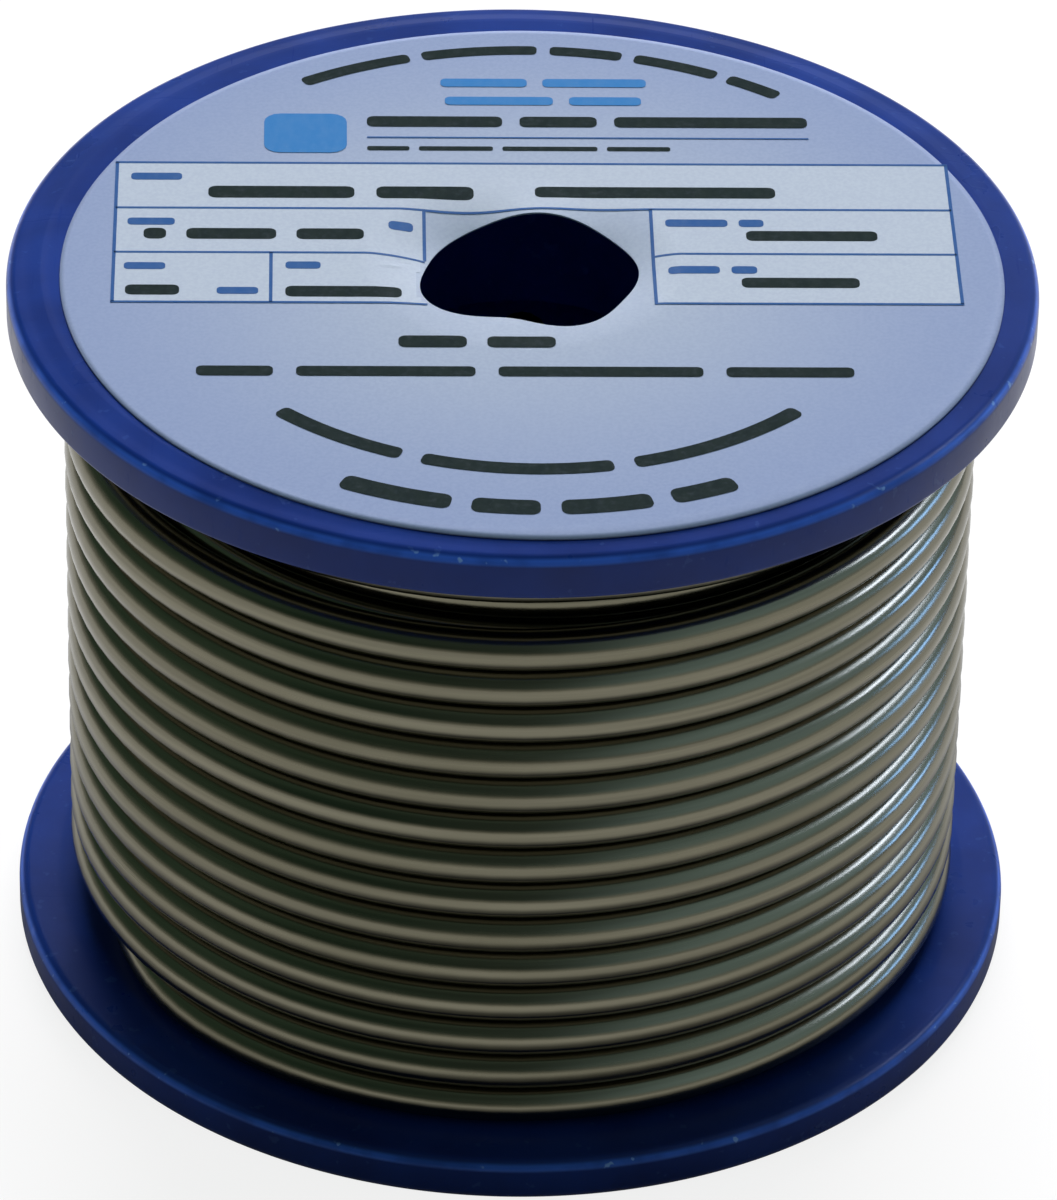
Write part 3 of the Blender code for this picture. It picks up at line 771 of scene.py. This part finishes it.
class SOLDERREEL_OT_label(bpy.types.Operator):
    """Lay the paper label on the upper flange, with its free edge waving over the bore"""

    bl_idname = "solder_reel.label"
    bl_label = "Make Label"

    def execute(self, context):
        width = LABEL_RADIUS - LABEL_HOLE_RADIUS
        shares = [(ring / LABEL_RINGS) ** RING_CROWDING for ring in range(LABEL_RINGS + 1)]
        line = [(LABEL_HOLE_RADIUS + width * share, 0.0) for share in shares]
        shape = turned_shape(line, LABEL_STEPS, closed=False)
        for vert in shape.verts:
            angle = math.atan2(vert.co.y, vert.co.x)
            share = (vert.co.xy.length - LABEL_HOLE_RADIUS) / width
            inner = hole_radius_at(angle)
            radius = inner + (LABEL_RADIUS - inner) * share
            vert.co.x = LABEL_CENTRE.x + radius * math.cos(angle)
            vert.co.y = LABEL_CENTRE.y + radius * math.sin(angle)
            vert.co.z = paper_height(vert.co.x, vert.co.y)
        bmesh.ops.recalc_face_normals(shape, faces=shape.faces)
        if sum(face.normal.z for face in shape.faces) < 0:
            bmesh.ops.reverse_faces(shape, faces=shape.faces)
        colours = context.scene.reel_colours
        material = material_of("printed_label_paper", printed_paper, colours.paper, colours.paper_middle)
        label = finished_piece("label_paper_sheet", shape, material, ["face_label"])
        thicken(label, "Paper", LABEL_THICKNESS, -1.0)
        return {"FINISHED"}


def on_label(x, y, lift):
    """A place of the print, in millimetres from the print's middle, as a point on the label's face."""
    turn = math.radians(PRINT_TURN)
    reel_x = PRINT_CENTRE.x + (x * math.cos(turn) - y * math.sin(turn)) * MM
    reel_y = PRINT_CENTRE.y + (x * math.sin(turn) + y * math.cos(turn)) * MM
    return Vector((reel_x, reel_y, paper_height(reel_x, reel_y) + lift))


def straight(start, end):
    """The place of (distance along, distance across) on a straight line of the print."""
    start, end = Vector(start), Vector(end)
    along = (end - start).normalized()
    across = Vector((-along.y, along.x))
    return (end - start).length, lambda u, v: start + along * u + across * v


def curved(radius, first, last):
    """The place of (distance along, distance across) on an arc round the print's middle."""
    first, last = math.radians(first), math.radians(last)
    way = 1 if last > first else -1

    def place(u, v):
        angle = first + way * u / radius
        distance = radius - way * v
        return Vector((distance * math.cos(angle), distance * math.sin(angle)))

    return abs(last - first) * radius, place


def bar_columns(length, corner):
    """Distances along a bar at which it has points, closer together at its rounded corners."""
    ends = [corner * share for share in CORNER_SHARES] if corner else [0.0]
    middle = length - 2 * ends[-1]
    steps = max(1, math.ceil(middle / PRINT_STEP))
    columns = ends + [ends[-1] + middle * step / steps for step in range(1, steps)]
    return columns + [length - distance for distance in reversed(ends)]


def lay_bar(shape, place, length, width, lift=INK_LIFT, corner=0.0, first=0.0):
    """A flat bar of ink with rounded corners that follows the paper, from a grid of points."""
    columns = bar_columns(length, corner)
    rows = math.ceil(width / PRINT_STEP)
    made = bmesh.ops.create_grid(shape, x_segments=len(columns) - 1, y_segments=rows, size=0.5)
    dropped = []
    for vert in made["verts"]:
        along = columns[round((vert.co.x + 0.5) * (len(columns) - 1))]
        across = vert.co.y * width
        inset = min(along, length - along)
        if inset < corner:
            lost = corner - math.sqrt(corner ** 2 - (corner - inset) ** 2)
            across *= 1 - 2 * lost / width * CORNER_CLOSE
        spot = place(first + along, across)
        vert.co = on_label(spot.x, spot.y, lift)
        offset = vert.co.xy - LABEL_CENTRE
        if offset.length < hole_radius_at(math.atan2(offset.y, offset.x)) + HOLE_MARGIN:
            dropped.append(vert)
    bmesh.ops.delete(shape, geom=dropped, context="VERTS")
    bmesh.ops.delete(shape, geom=[edge for edge in shape.edges if not edge.link_faces], context="EDGES")


def lay_line(shape, start, end, width=RULE_WIDTH, lift=INK_LIFT, corner=0.0):
    length, place = straight(start, end)
    lay_bar(shape, place, length, width, lift, corner)


def lay_words(shape, line, height, words):
    """A row of plain bars, one for each count of letters, with a space between them."""
    length, place = line
    letter = length / (sum(words) + WORD_SPACE * (len(words) - 1))
    bar = height * WORD_FILL
    start = 0.0
    for count in words:
        lay_bar(shape, place, count * letter, bar, corner=bar * WORD_ROUNDNESS, first=start)
        start += (count + WORD_SPACE) * letter


def finished_print(name, shape, material):
    """A flat print given the thickness of its ink."""
    bmesh.ops.recalc_face_normals(shape, faces=shape.faces)
    for face in shape.faces:
        if face.normal.z < 0:
            face.normal_flip()
    piece = finished_piece(name, shape, material, smooth=False)
    thicken(piece, "Ink", INK_DEPTH, 1.0)


class SOLDERREEL_OT_label_panels(bpy.types.Operator):
    """Tint the inside of the label's table paler"""

    bl_idname = "solder_reel.label_panels"
    bl_label = "Print Panels"

    def execute(self, context):
        top, second, _, bottom = TABLE_ROWS
        shape = bmesh.new()
        for left, right, high, low in (
            (TABLE_LEFT, TABLE_RIGHT, top, second),
            (TABLE_LEFT, LEFT_BLOCK_EDGE, second, bottom),
            (RIGHT_BLOCK_EDGE, TABLE_RIGHT, second, bottom),
        ):
            middle = (high + low) / 2
            lay_line(shape, (left, middle), (right, middle), high - low, PANEL_LIFT)
        material = material_of("printed_panel_paper", printed_paper, context.scene.reel_colours.panel)
        finished_print("label_table_panels", shape, material)
        return {"FINISHED"}


class SOLDERREEL_OT_label_ruling(bpy.types.Operator):
    """Rule the label's table and the line under its heading"""

    bl_idname = "solder_reel.label_ruling"
    bl_label = "Print Ruling"

    def execute(self, context):
        top, second, third, bottom = TABLE_ROWS
        half = RULE_WIDTH / 2
        shape = bmesh.new()
        for left, right, height, reach in (
            (TABLE_LEFT, TABLE_RIGHT, top, half),
            (TABLE_LEFT, TABLE_RIGHT, second, 0.0),
            (TABLE_LEFT, LEFT_BLOCK_EDGE, third, 0.0),
            (RIGHT_BLOCK_EDGE, TABLE_RIGHT, third, 0.0),
            (TABLE_LEFT, LEFT_BLOCK_EDGE, bottom, half),
            (RIGHT_BLOCK_EDGE, TABLE_RIGHT, bottom, half),
        ):
            lay_line(shape, (left - reach, height), (right + reach, height))
        for x, high in (
            (TABLE_LEFT, top),
            (TABLE_RIGHT, top),
            (LEFT_BLOCK_EDGE, second),
            (LEFT_BLOCK_SPLIT, third),
            (RIGHT_BLOCK_EDGE, second),
        ):
            lay_line(shape, (x, bottom), (x, high))
        lay_line(shape, *UNDERLINE, UNDERLINE_WIDTH)
        ink = material_of("ruling_ink", label_ink, context.scene.reel_colours.rule)
        finished_print("label_ruling", shape, ink)
        return {"FINISHED"}


class SOLDERREEL_OT_label_words(bpy.types.Operator):
    """Print the label's rows of plain bars, and the plain block beside its heading"""

    bl_idname = "solder_reel.label_words"
    bl_label = "Print Words"

    def execute(self, context):
        colours = context.scene.reel_colours
        for ink in ("heading", "rule", "dark"):
            shape = bmesh.new()
            for kind, left, right, middle, height, words in WORD_LINES:
                if kind == ink:
                    lay_words(shape, straight((left, middle), (right, middle)), height, words)
            if ink == "dark":
                for radius, first, last, height, words in WORD_ARCS:
                    lay_words(shape, curved(radius, first, last), height, words)
            if ink == "heading":
                x, y = BLOCK_CENTRE
                width, height = BLOCK_SIZE
                lay_line(shape, (x - width / 2, y), (x + width / 2, y), height, corner=BLOCK_CORNER)
            material = material_of(f"{ink}_word_ink", label_ink, getattr(colours, ink))
            finished_print(f"label_{ink}_words", shape, material)
        return {"FINISHED"}


# Wire


def ease(share):
    share = min(max(share, 0.0), 1.0)
    return share * share * (3 - 2 * share)


class WireRoute:
    """Where the wire's middle runs: down the layer beneath, then out and up the outer layer"""

    def __init__(self, diameter):
        self.radius = diameter / 2
        self.pitch = diameter + TURN_GAP
        step = math.sqrt(diameter ** 2 - (self.pitch / 2) ** 2)
        self.outer = BARREL_RADIUS + diameter / 2 + (LAYERS - 1) * step + LAYER_EASE
        self.under = self.outer - diameter - REST_GAP
        self.core = self.under - diameter - REST_GAP
        self.bed = LOWER_FACE + self.radius + REST_GAP
        places = (*LOOSE_SIDES, 1 + (LAST_ANGLE - FRONT) / 360)
        self.loose_places = tuple(zip(places, LOOSE_ROOMS))
        needed = max(room / self.pitch + self.climbed(place) for place, room in self.loose_places)
        between = UPPER_FACE - LOWER_FACE - diameter
        self.level_turns = math.floor(between / self.pitch - needed)
        self.first = UNDER_SHORTAGE - math.floor((between - REST_GAP) / self.pitch)
        self.last = self.level_turns + places[-1]

    def climbed(self, turns):
        """Pitches climbed in an even winding, where each turn climbs and then lies level."""
        whole = math.floor(turns)
        return whole + min((turns - whole) / (1 - LEVEL_SHARE), 1.0)

    def even_height(self, turns):
        return self.bed + self.pitch * max(self.climbed(turns), 0.0)

    def loose_lift(self, turns):
        start = self.level_turns + LOOSE_START
        low = 0.0
        for place, room in self.loose_places:
            end = self.level_turns + place
            high = UPPER_FACE - room - self.radius - self.even_height(end)
            if turns <= end:
                return low + (high - low) * ease((turns - start) / (end - start))
            start = end
            low = high
        return low

    def stray(self, turns):
        """Small unevenness of the winding, the same in every run."""
        return UNEVEN / 2 * sum(math.sin(speed * turns + start) for speed, start in STRAY_WAVES)

    def height(self, turns):
        if turns < 0:
            return self.even_height(max(-turns - UNDER_LEVEL, 0.0))
        return self.even_height(turns) + self.loose_lift(turns) + self.stray(turns) * ease(turns)

    def distance(self, turns):
        angle = FRONT + 360 * turns
        out = self.under + (self.outer - self.under) * ease((angle - CLIMB[0]) / (CLIMB[1] - CLIMB[0]))
        inwards = 1 - ease((turns - self.first) / START_RAMP)
        return out - (self.under - self.core) * inwards + self.stray(turns + 3.0) * ease(turns)

    def frame_at(self, turns):
        """Middle of the wire, its outward direction and its running direction."""
        angle = math.radians(FRONT + 360 * turns)
        outwards = Vector((math.cos(angle), math.sin(angle), 0.0))
        middle = outwards * self.distance(turns) + Vector((0.0, 0.0, self.height(turns)))
        return middle, outwards, Vector((-math.sin(angle), math.cos(angle), 0.0))


def core_spot(index, outwards):
    """Where a flux core lies, from the wire's middle."""
    angle = math.tau * (index + FLUX_TURN) / FLUX_CORES
    return outwards * (FLUX_RING * math.cos(angle)) + Vector((0.0, 0.0, FLUX_RING * math.sin(angle)))


def cut_end(shape, ring, middle, outwards, running, layer, along):
    """Closes the wire's cut end round the bores of its flux cores, and sinks those bores."""
    bores = []
    for index in range(FLUX_CORES):
        place = facing(middle + core_spot(index, outwards), running)
        made = bmesh.ops.create_circle(
            shape, cap_ends=False, segments=CORE_SIDES, radius=FLUX_BORE_RADIUS, matrix=place
        )
        bores.append(made["verts"])
    loops = [ring_edges(bore) for bore in bores]
    edges = ring_edges(ring) + [edge for loop in loops for edge in loop]
    bmesh.ops.triangle_fill(shape, use_beauty=True, use_dissolve=False, edges=edges, normal=running)
    for bore, loop in zip(bores, loops):
        floor = points_of(bmesh.ops.extrude_edge_only(shape, edges=loop))
        bmesh.ops.translate(shape, verts=floor, vec=-running * FLUX_DEPTH)
        bmesh.ops.contextual_create(shape, geom=ring_edges(floor))
        for vert in [*bore, *floor]:
            offset = vert.co - middle
            vert[layer] = Vector((along, offset.dot(outwards), offset.z))


def tube_along(shape, sides, radius, frames, layer, distances):
    """A grid rolled up into a tube that runs through many frames; returns its rings of points."""
    last = len(frames) - 1
    made = bmesh.ops.create_grid(shape, x_segments=last, y_segments=sides, size=0.5)
    rings = [[None] * (sides + 1) for _ in frames]
    for vert in made["verts"]:
        index = round((vert.co.x + 0.5) * last)
        side = round((vert.co.y + 0.5) * sides)
        middle, outwards, _ = frames[index]
        angle = math.tau * side / sides
        vert.co = middle + outwards * (radius * math.cos(angle)) + Vector((0, 0, radius * math.sin(angle)))
        vert[layer] = Vector((distances[index], radius * math.cos(angle), radius * math.sin(angle)))
        rings[index][side] = vert
    bmesh.ops.weld_verts(shape, targetmap={ring[-1]: ring[0] for ring in rings})
    return [ring[:-1] for ring in rings]


class SOLDERREEL_OT_wire(bpy.types.Operator):
    """Wind the wire's two outermost layers as one unbroken tube that ends in its cut end"""

    bl_idname = "solder_reel.wire"
    bl_label = "Wind Wire"

    def execute(self, context):
        sizes = context.scene.reel_sizes
        route = WireRoute(sizes.wire_diameter)
        steps = round((route.last - route.first) * sizes.steps_per_turn)
        places = [route.first + (route.last - route.first) * step / steps for step in range(steps + 1)]
        frames = [route.frame_at(turns) for turns in places]
        distances = [turns * math.tau * route.outer for turns in places]
        middle, outwards, running = frames[-1]
        along = distances[-1]
        for step in range(1, END_STEPS + 1):
            frames.append((middle + running * END_RUN * step / END_STEPS, outwards, running))
            distances.append(along + END_RUN * step / END_STEPS)
        shape = bmesh.new()
        layer = shape.verts.layers.float_vector.new("wire_place")
        rings = tube_along(shape, sizes.wire_sides, route.radius, frames, layer, distances)
        bmesh.ops.contextual_create(shape, geom=ring_edges(rings[0]))
        cut_end(shape, rings[-1], *frames[-1], layer, distances[-1])
        bmesh.ops.recalc_face_normals(shape, faces=shape.faces)
        metal = material_of("drawn_solder", solder_metal, "wire_place")
        finished_piece("solder_wire", shape, metal, ["winding_outer_layer"])
        return {"FINISHED"}


def ring_edges(ring):
    inside = set(ring)
    return list({edge for vert in ring for edge in vert.link_edges if edge.other_vert(vert) in inside})


class SOLDERREEL_OT_wire_beneath(bpy.types.Operator):
    """Turn the layers of wire that lie beneath the two wound ones"""

    bl_idname = "solder_reel.wire_beneath"
    bl_label = "Make Layers Beneath"

    def execute(self, context):
        route = WireRoute(context.scene.reel_sizes.wire_diameter)
        inside = BARREL_RADIUS + REST_GAP
        turns = math.floor((UPPER_FACE - LOWER_FACE) / route.pitch)
        outline = []
        for turn in reversed(range(turns)):
            height = route.bed + route.pitch * turn
            outline += arc((route.core, height), route.radius, GROOVE_ANGLE, -GROOVE_ANGLE, GROOVE_STEPS)
        outline += [(inside, route.bed - route.radius), (inside, outline[0][1])]
        shape = turned_shape(outline, BENEATH_STEPS)
        metal = material_of("turned_solder", solder_metal)
        finished_piece("wire_layers_beneath", shape, metal, ["winding_inner_layers"])
        return {"FINISHED"}


class SOLDERREEL_OT_flux_cores(bpy.types.Operator):
    """Fill the bores of the wire's cut end with flux"""

    bl_idname = "solder_reel.flux_cores"
    bl_label = "Make Flux Cores"

    def execute(self, context):
        route = WireRoute(context.scene.reel_sizes.wire_diameter)
        middle, outwards, running = route.frame_at(route.last)
        end = middle + running * END_RUN
        resin = material_of("flux_resin", flux_resin)
        radius = FLUX_BORE_RADIUS - FLUX_FIT
        length = FLUX_DEPTH - FLUX_INSET
        for index in range(FLUX_CORES):
            shape = bmesh.new()
            core = bmesh.ops.create_cone(
                shape, cap_ends=True, segments=CORE_SIDES, radius1=radius, radius2=radius, depth=length
            )
            bmesh.ops.translate(shape, verts=core["verts"], vec=(0.0, 0.0, -FLUX_INSET - length / 2))
            lid = max(shape.faces, key=lambda face: face.calc_center_median().z)
            for inset, rise in FLUX_DISHES:
                bmesh.ops.inset_region(shape, faces=[lid], thickness=inset, depth=rise)
            place = facing(end + core_spot(index, outwards), running)
            bmesh.ops.transform(shape, matrix=place, verts=shape.verts)
            finished_piece(f"flux_in_wire_{index + 1}", shape, resin, [f"flux_core_{index + 1}"])
        return {"FINISHED"}


class SOLDERREEL_OT_wire_start(bpy.types.Operator):
    """Bend the wire's start through the barrel's hole and down its inside"""

    bl_idname = "solder_reel.wire_start"
    bl_label = "Make Wire Start"

    def execute(self, context):
        sizes = context.scene.reel_sizes
        shape = bmesh.new()
        place = facing((0.0, BARREL_RADIUS, TAIL_HEIGHT), Vector((0.0, -1.0, 0.0)))
        ring = bmesh.ops.create_circle(
            shape, cap_ends=True, segments=sizes.wire_sides, radius=sizes.wire_diameter / 2, matrix=place
        )["verts"]
        ring = points_of(bmesh.ops.extrude_edge_only(shape, edges=ring_edges(ring)))
        bmesh.ops.translate(shape, verts=ring, vec=(0.0, TAIL_WALL + TAIL_BEND - BARREL_RADIUS, 0.0))
        bend = bmesh.ops.spin(
            shape, geom=ring + ring_edges(ring), axis=(1, 0, 0), dvec=(0, 0, 0),
            cent=(0.0, TAIL_WALL + TAIL_BEND, TAIL_HEIGHT - TAIL_BEND),
            angle=math.pi / 2, steps=TAIL_STEPS, use_merge=False, use_duplicate=False
        )
        ring = points_of(bend, "geom_last")
        ring = points_of(bmesh.ops.extrude_edge_only(shape, edges=ring_edges(ring)))
        bmesh.ops.translate(shape, verts=ring, vec=(0.0, 0.0, TAIL_FOOT - (TAIL_HEIGHT - TAIL_BEND)))
        bmesh.ops.contextual_create(shape, geom=ring_edges(ring))
        bmesh.ops.recalc_face_normals(shape, faces=shape.faces)
        metal = material_of("turned_solder", solder_metal)
        finished_piece("wire_start", shape, metal, ["wire_start_tail"])
        return {"FINISHED"}


# Studio


def white_floor(board, glow):
    """White that reads white to the camera and in the metal, and still takes the reel's shadow."""
    board.tree.nodes.remove(board.shader)
    plain = board.add("ShaderNodeBsdfDiffuse", {"Color": (*FLOOR_BOUNCE, 1.0)})
    shade = FLOOR_WHITE - glow
    shaded = board.add("ShaderNodeBsdfDiffuse", {"Color": (shade, shade, shade, 1.0)})
    # In the metal the white is painted darker towards the reel's foot, a painted shadow where the real one
    # lies
    path = board.add("ShaderNodeLightPath").outputs
    foot = board.spread(board.from_axis(board.place()), *FOOT_SHADE, FOOT_DIMMING, 0.0)
    dimming = board.times(foot, path["Is Glossy Ray"])
    strength = board.times(board.sum("SUBTRACT", 1.0, dimming), glow)
    bright = board.add("ShaderNodeEmission", {"Strength": strength})
    both = board.add("ShaderNodeAddShader")
    board.feed(both.inputs[0], bright.outputs["Emission"])
    board.feed(both.inputs[1], shaded.outputs["BSDF"])
    seen = board.sum("MAXIMUM", path["Is Camera Ray"], path["Is Glossy Ray"])
    seen = board.sum("MAXIMUM", seen, path["Is Transmission Ray"])
    choice = board.add("ShaderNodeMixShader", {"Fac": seen})
    board.feed(choice.inputs[1], plain.outputs["BSDF"])
    board.feed(choice.inputs[2], both.outputs["Shader"])
    board.give({"Surface": choice.outputs["Shader"]}, board.tree.nodes["Material Output"])


def surroundings(settings):
    """A plain room.  The metal also sees its pale horizon, its ceiling and its window's side."""
    world = bpy.data.worlds.new("surroundings")
    board = NodeBoard(world, "Background")
    apart = board.along_axes(board.add("ShaderNodeTexCoord").outputs["Generated"])
    room = board.blend(board.spread(apart["Y"], -0.60, -0.15), settings.walls, settings.ceiling)
    shady = tinted(settings.walls, 0.8, (0.0, 0.05, 0.02))
    far_side = board.blend(board.spread(apart["X"], -0.65, 0.05, 0.6, 0.0), room, shady)
    both_sides = board.blend(board.spread(apart["X"], 0.0, 0.75), far_side, settings.window_side)
    pale = board.blend(board.spread(apart["Z"], 0.0, 0.32, 1.0, 0.0), both_sides, settings.horizon)
    in_metal = board.add("ShaderNodeLightPath").outputs["Is Glossy Ray"]
    board.give({"Color": board.blend(in_metal, settings.walls, pale)})
    return world


def area_lamp(name, azimuth, elevation, distance, width, height, power, colour):
    """A rectangular light that faces the reel, placed by its direction from it."""
    lamp = bpy.data.lights.new(name, "AREA")
    lamp.shape = "RECTANGLE"
    lamp.size = width
    lamp.size_y = height
    lamp.energy = power
    lamp.color = colour
    item = placed(name, lamp)
    turn, rise = math.radians(azimuth), math.radians(elevation)
    direction = Vector((math.cos(turn) * math.cos(rise), math.sin(turn) * math.cos(rise), math.sin(rise)))
    item.matrix_world = facing(Vector((0.0, 0.0, REEL_TOP / 2)) + direction * distance, direction)
    return item


def place_camera():
    camera = bpy.data.cameras.new("camera")
    camera.sensor_width = SENSOR
    camera.sensor_fit = "AUTO"
    camera.lens = SENSOR * FOCAL_PIXELS / IMAGE_HEIGHT
    camera.clip_start = CLIP_START
    camera.clip_end = CLIP_END
    item = placed("camera", camera)
    rise = math.radians(CAMERA_ELEVATION)
    place = Vector((0.0, -CAMERA_DISTANCE * math.cos(rise), REEL_TOP + CAMERA_DISTANCE * math.sin(rise)))
    level = facing(place, place - CAMERA_AIM)
    item.matrix_world = level @ Matrix.Rotation(math.radians(CAMERA_TURN), 4, "Z")
    bpy.context.scene.camera = item


class SOLDERREEL_OT_studio(bpy.types.Operator):
    """Set the floor, the lights, the surroundings and the camera"""

    bl_idname = "solder_reel.studio"
    bl_label = "Set Up Studio"

    def execute(self, context):
        settings = context.scene.studio_settings
        shape = bmesh.new()
        place = Matrix.Translation((0.0, 0.0, CAD_BOX[0].z - REST_GAP))
        bmesh.ops.create_grid(shape, x_segments=1, y_segments=1, size=settings.floor_size / 2, matrix=place)
        floor = material_of("studio_floor", white_floor, settings.floor_glow)
        placed_shape("floor", shape, floor)
        for name, azimuth, elevation, distance, width, height, power, colour in (
            ("soft_light_behind", 84.0, 33.0, 1.2, 0.9, 0.7, settings.soft_power, (1.0, 0.93, 0.98)),
            ("soft_light_above", 84.0, 73.0, 1.2, 0.7, 0.5, settings.above_power, (0.86, 0.94, 1.0)),
            ("window_sky", 20.5, 37.0, 0.8, 0.32, 0.08, settings.sky_power, (0.58, 0.66, 1.0)),
            ("window_distance", 17.5, 9.5, 0.8, 0.26, 0.09, settings.distance_power, (0.22, 0.44, 1.0)),
        ):
            lamp = area_lamp(name, azimuth, elevation, distance, width, height, power, colour)
            # Only the window's panes are seen in the metal, and only the soft lights light colours
            lamp.visible_glossy = name.startswith("window")
            lamp.visible_diffuse = name.startswith("soft")
        context.scene.world = surroundings(settings)
        context.scene.view_settings.view_transform = "Standard"
        place_camera()
        return {"FINISHED"}


OPERATORS = (
    SOLDERREEL_OT_flanges,
    SOLDERREEL_OT_barrel,
    SOLDERREEL_OT_label,
    SOLDERREEL_OT_label_panels,
    SOLDERREEL_OT_label_ruling,
    SOLDERREEL_OT_label_words,
    SOLDERREEL_OT_wire,
    SOLDERREEL_OT_wire_beneath,
    SOLDERREEL_OT_flux_cores,
    SOLDERREEL_OT_wire_start,
    SOLDERREEL_OT_studio,
)


class SOLDERREEL_PT_panel(bpy.types.Panel):
    """The reel's sizes, colours and pieces"""

    bl_idname = "SOLDERREEL_PT_panel"
    bl_label = "Solder Reel"
    bl_space_type = "VIEW_3D"
    bl_region_type = "UI"
    bl_category = "Solder Reel"

    def draw(self, context):
        for group in (context.scene.reel_sizes, context.scene.reel_colours, context.scene.studio_settings):
            box = self.layout.box()
            for name in group.__annotations__:
                box.prop(group, name)
        column = self.layout.column()
        for operator in OPERATORS:
            column.operator(operator.bl_idname)


CLASSES = (ReelSizes, ReelColours, StudioSettings, *OPERATORS, SOLDERREEL_PT_panel)


def register():
    for item in CLASSES:
        bpy.utils.register_class(item)
    bpy.types.Scene.reel_sizes = PointerProperty(type=ReelSizes)
    bpy.types.Scene.reel_colours = PointerProperty(type=ReelColours)
    bpy.types.Scene.studio_settings = PointerProperty(type=StudioSettings)


def unregister():
    del bpy.types.Scene.studio_settings
    del bpy.types.Scene.reel_colours
    del bpy.types.Scene.reel_sizes
    for item in reversed(CLASSES):
        bpy.utils.unregister_class(item)


def main():
    register()
    bpy.ops.solder_reel.flanges()
    bpy.ops.solder_reel.barrel()
    bpy.ops.solder_reel.label()
    bpy.ops.solder_reel.label_panels()
    bpy.ops.solder_reel.label_ruling()
    bpy.ops.solder_reel.label_words()
    bpy.ops.solder_reel.wire()
    bpy.ops.solder_reel.wire_beneath()
    bpy.ops.solder_reel.flux_cores()
    bpy.ops.solder_reel.wire_start()
    bpy.ops.solder_reel.studio()


if __name__ == "__main__":
    main()
